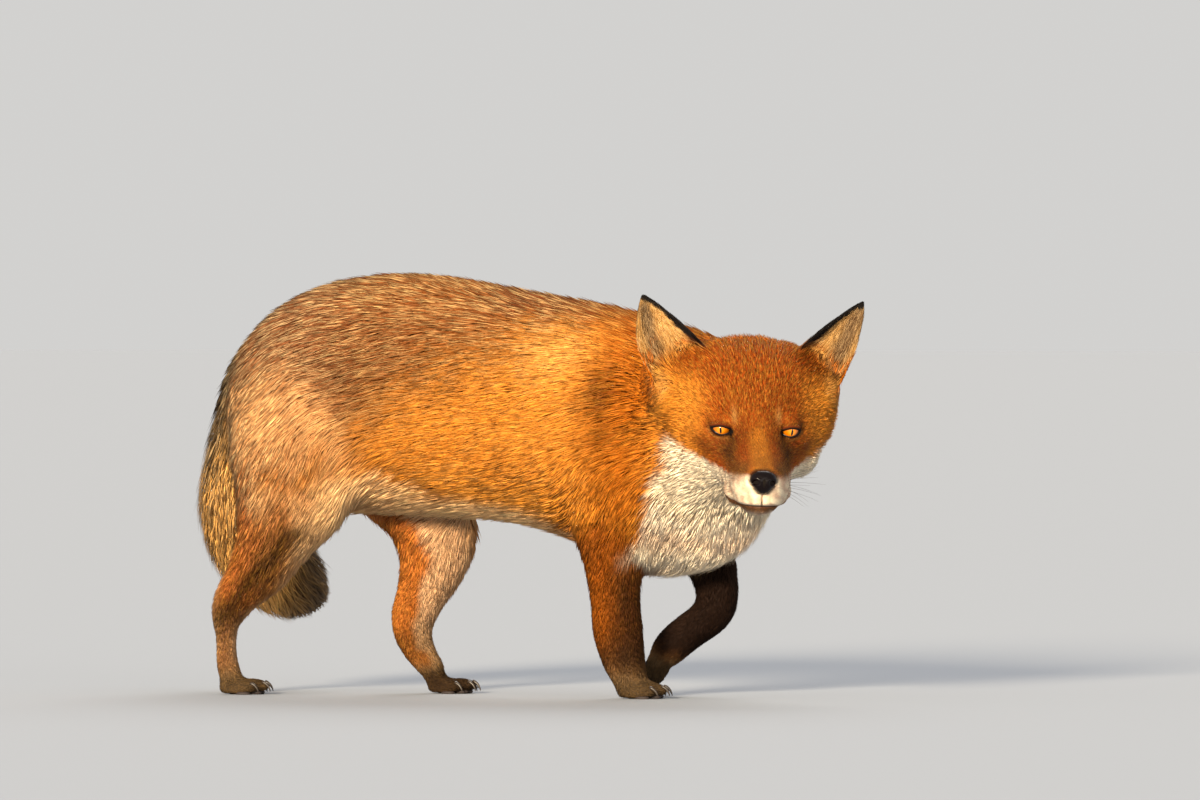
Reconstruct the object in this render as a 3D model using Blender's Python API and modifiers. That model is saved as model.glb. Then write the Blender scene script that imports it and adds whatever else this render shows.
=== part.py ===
"""A red fox, life size, walking with its head turned to its right and its left forepaw lifted.

Metres, +Z up. The fox faces -Y, so its own left is +X. The floor is z = 0.
Every outline is the coat's outer surface.
"""

import math

import bmesh
import bpy
from mathutils import Matrix, Vector

# ---------------------------------------------------------------- driving dimensions
GAP = 0.0003  # clearance between neighbouring nodes
BODY_VOXEL = 0.0032  # grid that melts the forms of the body together
BODY_TRIANGLES = 3900
EYE_RADIUS = 0.0095
EYE_SPACING = 0.0612  # between the centres of the two eyeballs
EYE_LEVEL = 0.0010
NOSE_SIZE = (0.0128, 0.0105, 0.0112)  # half width, half length, half height
EAR_WALL = 0.0042
EAR_ROOT = -0.22  # how far the root goes on into the head, as a share of the ear
EAR_SPREAD = {1: 0.0, -1: 0.010}  # how much further each ear opens to its side, left 1 and right -1
TOE_PITCH = 0.0102  # from one toe's middle to the next
TOE_RADII = (0.0066, 0.0135, 0.0085)
CLAW_LENGTH = 0.0125
CLAW_RADIUS = 0.0021
CLAW_ROOT = (0.0085, 0.0042)  # forward and up of the toe's own middle

HEAD_PLACE = (0.3313, -0.1136, 0.2450)  # forward, left, up of the point between the pupils
HEAD_YAW, HEAD_PITCH, HEAD_ROLL = -64.5, 18.0, 2.0  # degrees: to its right, nose down, left ear down


def at(forward, left, up):
    """A point given along the fox's own directions."""
    return Vector((left, -forward, up))


def turned(yaw=0.0, pitch=0.0, roll=0.0):
    """Turns a form about up, then about its own left, then about its own back axis, in degrees."""
    parts = ((yaw, "Z"), (pitch, "X"), (roll, "Y"))
    result = Matrix()
    for angle, axis in parts:
        result = result @ Matrix.Rotation(math.radians(angle), 4, axis)
    return result


HEAD = Matrix.Translation(at(*HEAD_PLACE)) @ turned(HEAD_YAW, HEAD_PITCH, HEAD_ROLL)

# ---------------------------------------------------------------- sections of the body
# A row is one oval section: forward, left, up of its widest level, half width, then how far it
# reaches on its upper (or front) side and on its lower (or back) side.
TRUNK = (
    (-0.219, 0.000, 0.276, 0.024, 0.020, 0.030),
    (-0.211, 0.000, 0.272, 0.047, 0.044, 0.056),
    (-0.196, 0.000, 0.266, 0.062, 0.072, 0.076),
    (-0.170, 0.000, 0.261, 0.073, 0.100, 0.088),
    (-0.132, 0.000, 0.258, 0.078, 0.121, 0.090),
    (-0.090, 0.000, 0.258, 0.076, 0.129, 0.092),
    (-0.048, 0.000, 0.258, 0.073, 0.132, 0.094),
    (0.000, 0.000, 0.252, 0.075, 0.134, 0.090),
    (0.050, 0.000, 0.246, 0.081, 0.131, 0.087),
    (0.100, 0.000, 0.240, 0.087, 0.129, 0.092),
    (0.145, 0.000, 0.236, 0.087, 0.125, 0.106),
    (0.185, -0.001, 0.232, 0.083, 0.120, 0.120),
    (0.220, -0.004, 0.226, 0.074, 0.112, 0.118),
    (0.244, -0.010, 0.220, 0.056, 0.095, 0.098),
)
NECK = (
    (0.170, 0.000, 0.240, 0.076, 0.112, 0.120),
    (0.205, -0.004, 0.234, 0.077, 0.110, 0.126),
    (0.237, -0.017, 0.230, 0.072, 0.106, 0.120),
    (0.263, -0.034, 0.230, 0.067, 0.101, 0.109),
    (0.285, -0.054, 0.230, 0.062, 0.091, 0.089),
    (0.301, -0.078, 0.226, 0.053, 0.072, 0.065),
    (0.312, -0.098, 0.220, 0.040, 0.048, 0.040),
)
# The head in its own frame, from the muzzle back to the nape, with the roundness of the upper and
# of the lower half: 2 is an ellipse, less is more like a roof.
SKULL = (
    (0.080, 0.0, -0.027, 0.0130, 0.009, 0.016, 2.0, 2.0),
    (0.075, 0.0, -0.028, 0.0195, 0.015, 0.0265, 2.0, 2.0),
    (0.064, 0.0, -0.029, 0.0245, 0.020, 0.0315, 2.0, 2.0),
    (0.048, 0.0, -0.029, 0.0275, 0.024, 0.0335, 2.0, 2.0),
    (0.031, 0.0, -0.028, 0.0305, 0.027, 0.0355, 2.0, 2.0),
    (0.016, 0.0, -0.026, 0.0350, 0.031, 0.037, 1.8, 1.9),
    (0.002, 0.0, -0.023, 0.0435, 0.039, 0.042, 1.65, 1.7),
    (-0.012, 0.0, -0.018, 0.0525, 0.046, 0.049, 1.65, 1.6),
    (-0.028, 0.0, -0.012, 0.0655, 0.053, 0.057, 1.75, 1.6),
    (-0.046, 0.0, -0.006, 0.0785, 0.060, 0.065, 1.9, 1.75),
    (-0.066, 0.0, -0.002, 0.0830, 0.064, 0.070, 2.1, 1.8),
    (-0.086, 0.0, 0.000, 0.0790, 0.065, 0.072, 2.2, 1.8),
    (-0.106, 0.0, 0.000, 0.0640, 0.059, 0.066, 2.0, 2.0),
    (-0.120, 0.0, 0.000, 0.0450, 0.042, 0.050, 2.0, 2.0),
)
# Rounded forms added to the head: forward, left, up, then half sizes across, along and up.
FACE_FORMS = (
    ("brow", -0.012, 0.0275, 0.0090, 0.0160, 0.0140, 0.0070),
    ("cheekbone", -0.012, 0.0370, -0.0130, 0.0140, 0.0170, 0.0090),
    ("whisker_pad", 0.058, 0.0140, -0.0330, 0.0130, 0.0170, 0.0120),
    ("lip", 0.036, 0.0195, -0.0460, 0.0120, 0.0210, 0.0125),
    ("ruff", -0.042, 0.0450, -0.0310, 0.0240, 0.0310, 0.0270),
)
# The tuft that the left ear springs from, given in the same way. The right one lies further out.
EAR_BASE = (-0.058, 0.069, 0.012, 0.0135, 0.0180, 0.0220)
# The full coat that fills the bend between the head and the neck's right side, given in the same way.
NECK_FOLD = (-0.085, -0.082, 0.002, 0.020, 0.028, 0.050)
TAIL = (
    (-0.176, 0.000, 0.330, 0.022, 0.022, 0.022),
    (-0.202, 0.002, 0.287, 0.031, 0.028, 0.030),
    (-0.211, 0.007, 0.243, 0.037, 0.034, 0.036),
    (-0.219, 0.021, 0.189, 0.046, 0.044, 0.047),
    (-0.220, 0.051, 0.144, 0.049, 0.047, 0.050),
    (-0.212, 0.086, 0.113, 0.046, 0.044, 0.046),
    (-0.205, 0.118, 0.098, 0.037, 0.036, 0.036),
    (-0.200, 0.142, 0.090, 0.023, 0.023, 0.022),
    (-0.197, 0.156, 0.086, 0.009, 0.009, 0.009),
)
HIND_RIGHT = (
    (-0.140, -0.040, 0.320, 0.030, 0.044, 0.040),
    (-0.142, -0.047, 0.275, 0.038, 0.062, 0.058),
    (-0.138, -0.054, 0.228, 0.041, 0.068, 0.066),
    (-0.141, -0.057, 0.184, 0.038, 0.060, 0.060),
    (-0.156, -0.056, 0.150, 0.031, 0.041, 0.042),
    (-0.168, -0.053, 0.127, 0.025, 0.033, 0.033),
    (-0.182, -0.050, 0.108, 0.0205, 0.0270, 0.0270),
    (-0.198, -0.048, 0.089, 0.0165, 0.0200, 0.0240),
    (-0.207, -0.047, 0.072, 0.0130, 0.0140, 0.0195),
    (-0.210, -0.046, 0.050, 0.0115, 0.0095, 0.0100),
    (-0.209, -0.046, 0.030, 0.0130, 0.0105, 0.0115),
    (-0.206, -0.046, 0.014, 0.0130, 0.0130, 0.0110),
)
HIND_LEFT = (
    (-0.140, 0.040, 0.320, 0.030, 0.044, 0.040),
    (-0.128, 0.047, 0.278, 0.038, 0.060, 0.058),
    (-0.098, 0.053, 0.237, 0.040, 0.062, 0.062),
    (-0.064, 0.056, 0.196, 0.038, 0.056, 0.058),
    (-0.043, 0.055, 0.160, 0.033, 0.045, 0.045),
    (-0.040, 0.051, 0.130, 0.027, 0.038, 0.038),
    (-0.045, 0.047, 0.108, 0.022, 0.030, 0.030),
    (-0.053, 0.045, 0.087, 0.018, 0.024, 0.025),
    (-0.060, 0.044, 0.066, 0.0165, 0.0200, 0.0230),
    (-0.057, 0.044, 0.046, 0.0145, 0.0160, 0.0180),
    (-0.046, 0.044, 0.028, 0.0145, 0.0140, 0.0130),
    (-0.034, 0.044, 0.015, 0.0140, 0.0120, 0.0110),
)
FORE_RIGHT = (
    (0.158, -0.044, 0.215, 0.026, 0.040, 0.034),
    (0.160, -0.047, 0.175, 0.027, 0.036, 0.033),
    (0.168, -0.047, 0.138, 0.025, 0.031, 0.031),
    (0.171, -0.046, 0.107, 0.0215, 0.0250, 0.0255),
    (0.172, -0.045, 0.080, 0.0200, 0.0240, 0.0240),
    (0.174, -0.044, 0.058, 0.0195, 0.0245, 0.0245),
    (0.178, -0.044, 0.038, 0.0180, 0.0215, 0.0215),
    (0.184, -0.044, 0.022, 0.0180, 0.0180, 0.0180),
    (0.188, -0.044, 0.012, 0.0160, 0.0150, 0.0150),
)
FORE_LEFT = (
    (0.200, 0.044, 0.215, 0.025, 0.036, 0.030),
    (0.212, 0.046, 0.178, 0.026, 0.033, 0.031),
    (0.227, 0.045, 0.143, 0.0235, 0.0260, 0.0260),
    (0.237, 0.043, 0.112, 0.0205, 0.0215, 0.0225),
    (0.241, 0.042, 0.091, 0.0185, 0.0190, 0.0205),
    (0.235, 0.042, 0.076, 0.0175, 0.0195, 0.0180),
    (0.214, 0.042, 0.061, 0.0170, 0.0180, 0.0180),
    (0.196, 0.042, 0.047, 0.0175, 0.0175, 0.0175),
    (0.184, 0.042, 0.034, 0.0165, 0.0155, 0.0150),
)
# A foot: where the toes spring from (forward, left, up), how far it turns outwards and how far
# its toes point down, in degrees, and how far the middle toes reach.
FEET = {
    "fore_right": ((0.188, -0.044, 0.0070), -6.0, 0.0, 0.020),
    "fore_left": ((0.183, 0.042, 0.0290), 4.0, 118.0, 0.014),
    "hind_right": ((-0.202, -0.046, 0.0070), -6.0, 0.0, 0.020),
    "hind_left": ((-0.030, 0.044, 0.0070), 6.0, 0.0, 0.020),
}

# The order in which the other nodes are parted from the whole body.
PARTING_ORDER = ("tail", "leg_hind_right", "leg_hind_left", "leg_fore_right", "leg_fore_left", "head", "neck")

COLOURS = {
    "rufous": ((0.62, 0.24, 0.06, 1.0), 0.85),
    "pale": ((0.72, 0.60, 0.44, 1.0), 0.85),
    "dark": ((0.05, 0.03, 0.02, 1.0), 0.80),
    "nose": ((0.015, 0.012, 0.012, 1.0), 0.30),
    "eye": ((0.75, 0.38, 0.04, 1.0), 0.08),
}


# ---------------------------------------------------------------- small tools
def collection(name, parent=None):
    made = bpy.data.collections.new(name)
    (parent or bpy.context.scene.collection).children.link(made)
    return made


def material(name):
    colour, roughness = COLOURS[name]
    found = bpy.data.materials.get(name)
    if found:
        return found
    made = bpy.data.materials.new(name)
    made.use_nodes = True
    shader = made.node_tree.nodes["Principled BSDF"]
    shader.inputs["Base Color"].default_value = colour
    shader.inputs["Roughness"].default_value = roughness
    shader.inputs["Metallic"].default_value = 0.0
    return made


def new_object(name, bm, where):
    """Turns a bmesh into an object with its faces pointing out."""
    bmesh.ops.recalc_face_normals(bm, faces=bm.faces)
    mesh = bpy.data.meshes.new(name)
    bm.to_mesh(mesh)
    bm.free()
    made = bpy.data.objects.new(name, mesh)
    where.objects.link(made)
    return made


def applied(obj):
    """Replaces an object's mesh by what its modifiers make of it."""
    bpy.context.view_layer.update()
    graph = bpy.context.evaluated_depsgraph_get()
    mesh = bpy.data.meshes.new_from_object(obj.evaluated_get(graph))
    obj.modifiers.clear()
    old, obj.data = obj.data, mesh
    bpy.data.meshes.remove(old)
    return obj


def boolean(obj, operation, other):
    """Applies one Boolean and leaves the other object as it was."""
    modifier = obj.modifiers.new(operation, "BOOLEAN")
    modifier.operation = operation
    modifier.object = other
    return applied(obj)


def copy_of(obj, name):
    made = bpy.data.objects.new(name, obj.data.copy())
    obj.users_collection[0].objects.link(made)
    return made


def remove(*objects):
    for obj in objects:
        bpy.data.objects.remove(obj)


def through(rows, steps):
    """The rows and steps - 1 rows between each two of them, along a Catmull-Rom curve."""
    smooth = []
    last = len(rows) - 1
    for i in range(last):
        p0, p1, p2, p3 = (rows[max(0, min(last, i + k))] for k in (-1, 0, 1, 2))
        for s in range(steps):
            t = s / steps
            row = []
            for a, b, c, d in zip(p0, p1, p2, p3):
                bend = (2 * a - 5 * b + 4 * c - d) * t**2 + (3 * b - 3 * c + d - a) * t**3
                row.append(0.5 * (2 * b + (c - a) * t + bend))
            smooth.append(tuple(row))
    return smooth + [rows[last]]


def rounded(value, power):
    """A sine or cosine, bent so that the section becomes a superellipse."""
    return math.copysign(abs(value) ** (2 / power), value)


def loft(name, rows, where, steps=4, sides=32, along=None, matrix=Matrix(), grow=0.0, power=2.0):
    """A closed form through oval sections. Sections stand across their path, or across along."""
    rows = through([tuple(row) + (power, power)[len(row) - 6 :] for row in rows], steps)
    bm = bmesh.new()
    rings = []
    for i, (forward, left, up, half, rise, drop, top_power, low_power) in enumerate(rows):
        before, after = rows[max(0, i - 1)], rows[min(len(rows) - 1, i + 1)]
        tangent = along or (at(*after[:3]) - at(*before[:3])).normalized()
        across = Vector((1, 0, 0))
        across = (across - tangent * across.dot(tangent)).normalized()
        other = tangent.cross(across)
        ends = {0: -grow, len(rows) - 1: grow}
        centre = at(forward, left, up) + tangent * ends.get(i, 0.0)
        ring = []
        for k in range(sides):
            angle = 2 * math.pi * k / sides
            bend = top_power if math.sin(angle) > 0 else low_power
            reach = (rise if math.sin(angle) > 0 else drop) + grow
            sideways = across * (half + grow) * rounded(math.cos(angle), bend)
            depthways = other * reach * rounded(math.sin(angle), bend)
            ring.append(bm.verts.new(matrix @ (centre + sideways + depthways)))
        rings.append(ring)
    for ring, following in zip(rings, rings[1:]):
        for k in range(sides):
            n = (k + 1) % sides
            bm.faces.new((ring[k], ring[n], following[n], following[k]))
    bm.faces.new(rings[0])
    bm.faces.new(rings[-1])
    return new_object(name, bm, where)


def ball(name, centre, radii, where, matrix=Matrix(), segments=20):
    """An ellipsoid. The radii run across, along and up."""
    bm = bmesh.new()
    bmesh.ops.create_uvsphere(bm, u_segments=segments, v_segments=segments // 2, radius=1.0)
    place = matrix @ Matrix.Translation(centre) @ Matrix.Diagonal((*radii, 1.0))
    bmesh.ops.transform(bm, matrix=place, verts=bm.verts)
    return new_object(name, bm, where)


def block(name, low, high, where, matrix=Matrix(), grow=0.0):
    """A box between two corners, each forward, left, up."""
    bm = bmesh.new()
    bmesh.ops.create_cube(bm, size=1.0)
    a, b = at(*low), at(*high)
    size = [abs(q - p) + 2 * grow for p, q in zip(a, b)]
    place = matrix @ Matrix.Translation((a + b) / 2) @ Matrix.Diagonal((*size, 1.0))
    bmesh.ops.transform(bm, matrix=place, verts=bm.verts)
    return new_object(name, bm, where)


def prism(name, outline, half_width, where, matrix=Matrix(), grow=0.0):
    """A side outline of (forward, up) points, widened to both sides."""
    middle = Vector((sum(p[0] for p in outline), sum(p[1] for p in outline))) / len(outline)
    bm = bmesh.new()
    for side in (-1, 1):
        ring = []
        for forward, up in outline:
            spread = (Vector((forward, up)) - middle).normalized() * grow
            corner = at(forward + spread.x, side * (half_width + grow), up + spread.y)
            ring.append(bm.verts.new(matrix @ corner))
        bm.faces.new(ring)
    count = len(outline)
    bm.verts.ensure_lookup_table()
    for k in range(count):
        n = (k + 1) % count
        bm.faces.new((bm.verts[k], bm.verts[n], bm.verts[count + n], bm.verts[count + k]))
    return new_object(name, bm, where)


def melted(name, objects, where, voxel, rounds):
    """Joins closed forms into one skin and smooths where they meet."""
    bm = bmesh.new()
    for obj in objects:
        bm.from_mesh(obj.data)
    made = new_object(name, bm, where)
    remove(*objects)
    remesh = made.modifiers.new("melt", "REMESH")
    remesh.mode = "VOXEL"
    remesh.voxel_size = voxel
    smooth = made.modifiers.new("smooth", "SMOOTH")
    smooth.iterations = rounds
    return applied(made)


# ---------------------------------------------------------------- forms of the fox
def foot_frame(foot):
    """The frame that a foot's toes spring from: -Y along them, +Z their upper side."""
    place, turn, down, _ = FEET[foot]
    return Matrix.Translation(at(*place)) @ turned(-turn, down)


def toe_places(foot):
    """The middle of each of a foot's four toes, in the foot's frame."""
    reach = FEET[foot][3]
    places = []
    for i in range(4):
        out = abs(i - 1.5) - 0.5  # 0 for the two middle toes, 1 for the outer ones
        places.append(at(reach - 0.0085 * out, (i - 1.5) * TOE_PITCH, -0.0010 * out))
    return places


def feet_forms(where):
    forms = []
    for foot in FEET:
        frame = foot_frame(foot)
        for place in toe_places(foot):
            forms.append(ball("toe", place, TOE_RADII, where, frame))
        forms.append(ball("pad", at(0.001, 0, -0.002), (0.0165, 0.0170, 0.0095), where, frame))
    return forms


def head_forms(where):
    forms = [loft("skull", SKULL, where, along=at(1, 0, 0), matrix=HEAD)]
    for name, forward, left, up, *radii in FACE_FORMS:
        for side in (-1, 1):
            forms.append(ball(name, at(forward, side * left, up), radii, where, HEAD))
    forward, left, up, *radii = EAR_BASE
    for side, spread in EAR_SPREAD.items():
        forms.append(ball("ear_base", at(forward, side * (left + spread), up), radii, where, HEAD))
    forms.append(ball("neck_fold", at(*NECK_FOLD[:3]), NECK_FOLD[3:], where, HEAD))
    return forms


def whole_body(where):
    """Trunk, neck, head, tail, legs and feet as one closed surface that stands on flats."""
    forms = [
        loft("trunk", TRUNK, where, along=at(1, 0, 0), power=2.15),
        loft("neck", NECK, where, power=2.1),
        loft("tail", TAIL, where),
        loft("hind_right", HIND_RIGHT, where),
        loft("hind_left", HIND_LEFT, where),
        loft("fore_right", FORE_RIGHT, where),
        loft("fore_left", FORE_LEFT, where),
    ]
    body = melted("body", forms, where, BODY_VOXEL, 14)
    detail = head_forms(where) + feet_forms(where)
    body = melted("body", [body] + detail, where, BODY_VOXEL * 0.8, 5)
    decimate = body.modifiers.new("lighten", "DECIMATE")
    decimate.ratio = BODY_TRIANGLES / (2 * len(body.data.polygons))
    applied(body)
    under = block("under", (-0.4, -0.4, -0.1), (0.5, 0.4, 0.0), where)
    boolean(body, "DIFFERENCE", under)
    remove(under)
    return body


def ear_point(side, s, t):
    """A point on the cupped ear, s from its inner edge, -1, to its outer edge, 1, and t from root to tip."""
    spread = EAR_SPREAD[side]
    arch = math.sin(math.pi * min(1.0, max(0.0, t)))
    tip = Vector((side * (0.099 + 0.5 * spread), 0.066, 0.105))
    inner = Vector((side * 0.037, 0.068, 0.052)).lerp(tip, t)
    inner += Vector((0.0, 0.0, 0.003)) * arch
    outer = Vector((side * (0.080 + spread), 0.050, 0.020)).lerp(tip, t)
    outer += Vector((side * (0.004 + 0.6 * spread), 0.0, -0.001)) * arch
    outer.x *= 1 + 0.5 * min(0.0, t)  # below its root the outer edge turns in to the head
    hollow = 0.024 * max(0.0, 1.0 - t) ** 0.8 + 0.001
    back = Vector((0.0, 0.94, 0.34))
    cup = back * hollow * max(0.0, math.cos(math.pi * s / 2)) ** 0.8
    return inner.lerp(outer, (s + 1) / 2) + cup


def ear(name, side, where, grow=0.0):
    """A thin cup, open to the front, with its root inside the head."""
    bm = bmesh.new()
    bmesh.ops.create_grid(bm, x_segments=8, y_segments=6, size=1.0)
    for vert in bm.verts:
        s, t = vert.co.x, (vert.co.y + 1) / 2
        vert.co = HEAD @ ear_point(side, s, EAR_ROOT * (1 - t) + 0.99 * t)
    made = new_object(name, bm, where)
    wall = made.modifiers.new("wall", "SOLIDIFY")
    wall.thickness = EAR_WALL
    wall.offset = 0.0
    swell = made.modifiers.new("swell", "DISPLACE")
    swell.strength = grow
    swell.mid_level = 0.0
    return applied(made)


def nose_form(where, grow=0.0):
    """The bare nose: a rounded block with two nostrils."""
    bm = bmesh.new()
    bmesh.ops.create_cube(bm, size=2.0)
    for vert in bm.verts:
        if vert.co.z < 0:
            vert.co.x *= 0.58
        if vert.co.y > 0:
            vert.co *= 0.9
    place = HEAD @ Matrix.Translation(at(0.0765, 0, -0.0225)) @ turned(0, -14)
    half = [size + grow for size in NOSE_SIZE]
    bmesh.ops.transform(bm, matrix=place @ Matrix.Diagonal((*[h * 1.22 for h in half], 1.0)), verts=bm.verts)
    made = new_object("nose", bm, where)
    round_off = made.modifiers.new("round", "SUBSURF")
    round_off.levels = round_off.render_levels = 2
    applied(made)
    if not grow:
        for side in (-1, 1):
            opening = at(0.0885, side * 0.0066, -0.0220)
            nostril = ball("nostril", opening, (0.0026, 0.0050, 0.0022), where, HEAD, 12)
            boolean(made, "DIFFERENCE", nostril)
            remove(nostril)
    return made


def eye_centre(side):
    return at(-0.0068, side * EYE_SPACING / 2, EYE_LEVEL)


def claw_place(t, bend):
    """Where the claw has come to after a share t of its length, bent down by an angle."""
    reach = CLAW_LENGTH * t
    return at(CLAW_ROOT[0] + reach * math.cos(bend), 0, CLAW_ROOT[1] - reach * math.sin(bend))


def claw(name, foot, place, where):
    """A tapering claw that leaves the front of a toe and curves down."""
    bm = bmesh.new()
    rings = []
    sides = 5
    for i in range(3):
        t = i / 3
        bend = math.radians(12 + 46 * t)
        centre = place + claw_place(t, bend)
        radius = CLAW_RADIUS * (1 - t) ** 0.6
        ring = bmesh.ops.create_circle(bm, segments=sides, radius=radius)["verts"]
        spin = Matrix.Translation(centre) @ Matrix.Rotation(math.pi / 2 + bend, 4, "X")
        bmesh.ops.transform(bm, matrix=spin @ Matrix.Diagonal((0.8, 1.2, 1.0, 1.0)), verts=ring)
        rings.append(ring)
    bend = math.radians(50)
    tip = bm.verts.new(place + claw_place(1.0, bend))
    for ring, following in zip(rings, rings[1:]):
        for k in range(sides):
            n = (k + 1) % sides
            bm.faces.new((ring[k], ring[n], following[n], following[k]))
    for k in range(sides):
        bm.faces.new((rings[-1][k], rings[-1][(k + 1) % sides], tip))
    bm.faces.new(rings[0])
    bmesh.ops.transform(bm, matrix=foot_frame(foot), verts=bm.verts)
    return new_object(name, bm, where)


# ---------------------------------------------------------------- where the fox is parted
# Side outlines (forward, up) of what is cut off whole, and how far from the middle a cut reaches.
PARTINGS = {
    "leg_hind_right": (
        -1,
        0.018,
        (
            (-0.300, -0.050),
            (-0.300, 0.200),
            (-0.235, 0.262),
            (-0.190, 0.295),
            (-0.145, 0.302),
            (-0.105, 0.285),
            (-0.078, 0.250),
            (-0.066, 0.212),
            (-0.062, 0.170),
            (-0.062, -0.050),
        ),
    ),
    "leg_hind_left": (
        1,
        0.018,
        (
            (-0.300, -0.050),
            (-0.300, 0.200),
            (-0.225, 0.270),
            (-0.180, 0.300),
            (-0.130, 0.305),
            (-0.080, 0.290),
            (-0.045, 0.258),
            (-0.022, 0.220),
            (-0.002, 0.190),
            (0.010, 0.160),
            (0.020, 0.120),
            (0.035, -0.050),
        ),
    ),
    "leg_fore_right": (
        -1,
        0.014,
        (
            (0.100, -0.050),
            (0.116, 0.132),
            (0.135, 0.165),
            (0.165, 0.178),
            (0.195, 0.165),
            (0.213, 0.135),
            (0.216, 0.050),
            (0.240, 0.020),
            (0.240, -0.050),
        ),
    ),
    "leg_fore_left": (
        1,
        0.014,
        (
            (0.150, -0.030),
            (0.150, 0.050),
            (0.190, 0.090),
            (0.190, 0.150),
            (0.208, 0.172),
            (0.232, 0.178),
            (0.255, 0.165),
            (0.270, 0.135),
            (0.280, 0.090),
            (0.280, -0.030),
        ),
    ),
    "neck": (
        0,
        0.200,
        (
            (0.160, 0.450),
            (0.186, 0.340),
            (0.208, 0.250),
            (0.220, 0.180),
            (0.222, 0.050),
            (0.450, 0.050),
            (0.450, 0.450),
        ),
    ),
}
LEG_REACH = 0.140  # how far out a leg's cut reaches
HEAD_BOX = ((-0.088, -0.088, -0.110), (0.130, 0.088, 0.110))
MOUTH = (
    (0.100, -0.0430),
    (0.078, -0.0450),
    (0.060, -0.0475),
    (0.044, -0.0490),
    (0.031, -0.0465),
    (0.029, -0.0490),
    (0.040, -0.0640),
    (0.040, -0.0900),
    (0.100, -0.0900),
)
PAW_BOX = ((-0.024, -0.045, -0.040), (0.070, 0.045, 0.019))
LIFTED_PAW_BOX = ((-0.012, -0.045, -0.045), (0.070, 0.045, 0.045))
EYE_GAZE = 11.0  # degrees that each eye looks outwards
EYE_TILT = 11.0  # degrees that an eye's outer corner stands above its inner one
EYE_OPENING = (0.0100, 0.0150, 0.0056)


def region(name, where, grow=0.0):
    """The solid that holds a part, a little larger when it makes the part's neighbour."""
    if name == "tail":
        return loft(name, TAIL, where, 2, 20, grow=0.004 + grow)
    if name == "head":
        return block(name, *HEAD_BOX, where, HEAD, grow)
    if name == "jaw":
        return prism(name, MOUTH, 0.060, where, HEAD, grow)
    if name.startswith("paw_"):
        foot = name[4:]
        box = LIFTED_PAW_BOX if foot == "fore_left" else PAW_BOX
        return block(name, *box, where, foot_frame(foot), grow)
    side, inner, outline = PARTINGS[name]
    if not side:
        return prism(name, outline, inner, where, grow=grow)
    half = (LEG_REACH - inner) / 2
    offset = Matrix.Translation(at(0, side * (inner + half), 0))
    return prism(name, outline, half, where, offset, grow)


def largest(obj):
    """Keeps an object's biggest closed piece."""
    bm = bmesh.new()
    bm.from_mesh(obj.data)
    left = set(bm.verts)
    pieces = []
    while left:
        piece = {left.pop()}
        front = set(piece)
        while front:
            front = {e.other_vert(v) for v in front for e in v.link_edges} - piece
            piece |= front
        left -= piece
        pieces.append(piece)
    best = max(pieces, key=len)
    bmesh.ops.delete(bm, geom=[v for v in bm.verts if v not in best], context="VERTS")
    bm.to_mesh(obj.data)
    bm.free()
    return obj


def cut_off(whole, name, where):
    """Takes a part off a whole, leaving the gap between them."""
    part = copy_of(whole, name)
    inside, outside = region(name, where), region(name, where, GAP)
    boolean(part, "INTERSECT", inside)
    boolean(whole, "DIFFERENCE", outside)
    remove(inside, outside)
    return largest(part)


def carved(obj, *forms):
    for form in forms:
        boolean(obj, "DIFFERENCE", form)
        remove(form)
    return obj


def eye_frame(side):
    """An eye's own frame: its centre, -Y along its gaze and +X towards its left corner."""
    return HEAD @ Matrix.Translation(eye_centre(side)) @ turned(side * EYE_GAZE, 0, -side * EYE_TILT)


def centred(objects):
    """Moves the whole fox so that the middle of its box stands over the origin."""
    corners = [vert.co for obj in objects for vert in obj.data.vertices]
    middle = [(min(c[axis] for c in corners) + max(c[axis] for c in corners)) / 2 for axis in (0, 1)]
    for obj in objects:
        obj.data.transform(Matrix.Translation((-middle[0], -middle[1], 0.0)))


def finish(obj, name, look, where):
    for holder in list(obj.users_collection):
        holder.objects.unlink(obj)
    where.objects.link(obj)
    obj.name = name
    obj.data.name = name
    obj.data.materials.clear()
    obj.data.materials.append(material(look))
    return obj


# ---------------------------------------------------------------- the whole fox
def build():
    for leftover in list(bpy.data.objects):
        bpy.data.objects.remove(leftover)
    product = collection("red_fox")
    work = collection("work")

    trunk = whole_body(work)
    parts = {"trunk": trunk}
    for name in PARTING_ORDER:
        parts[name] = cut_off(trunk, name, work)
    for foot in FEET:
        paw = cut_off(parts["leg_" + foot], "paw_" + foot, work)
        for i, place in enumerate(toe_places(foot)):
            nail = claw("claw", foot, place, work)
            boolean(paw, "UNION", nail)
            remove(nail)
        parts["paw_" + foot] = paw
    head = parts["head"]
    for side, name in ((1, "left"), (-1, "right")):
        frame = eye_frame(side)
        socket = ball("socket", Vector(), (EYE_RADIUS + GAP,) * 3, work, frame, 16)
        opening = ball("opening", at(0.010, 0, 0), EYE_OPENING, work, frame, 16)
        carved(head, socket, opening, ear("root", side, work, 2.5 * GAP))
        carved(parts["neck"], ear("root", side, work, 2.5 * GAP))
        parts["eye_" + name] = ball("eye", Vector(), (EYE_RADIUS,) * 3, work, frame, 16)
        parts["ear_" + name] = ear("ear", side, work)
    parts["nose"] = nose_form(work)
    carved(head, nose_form(work, GAP))
    parts["jaw"] = cut_off(head, "jaw", work)
    for obj in parts.values():
        largest(obj)

    centred(parts.values())

    looks = {"nose": "nose", "eye": "eye", "ear": "pale", "paw": "dark", "jaw": "pale"}
    for name, obj in parts.items():
        finish(obj, name, looks.get(name.split("_")[0], "rufous"), product)
    bpy.data.collections.remove(work)


build()
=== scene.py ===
# A red fox with its coat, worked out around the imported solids.
# Places are written as (forward, left, up) of the fox, in metres, as it stands.
import math

import bmesh
import bpy
import numpy as np
from mathutils import Matrix, Vector
from mathutils.bvhtree import BVHTree
from mathutils.geometry import barycentric_transform
from mathutils.kdtree import KDTree


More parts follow.
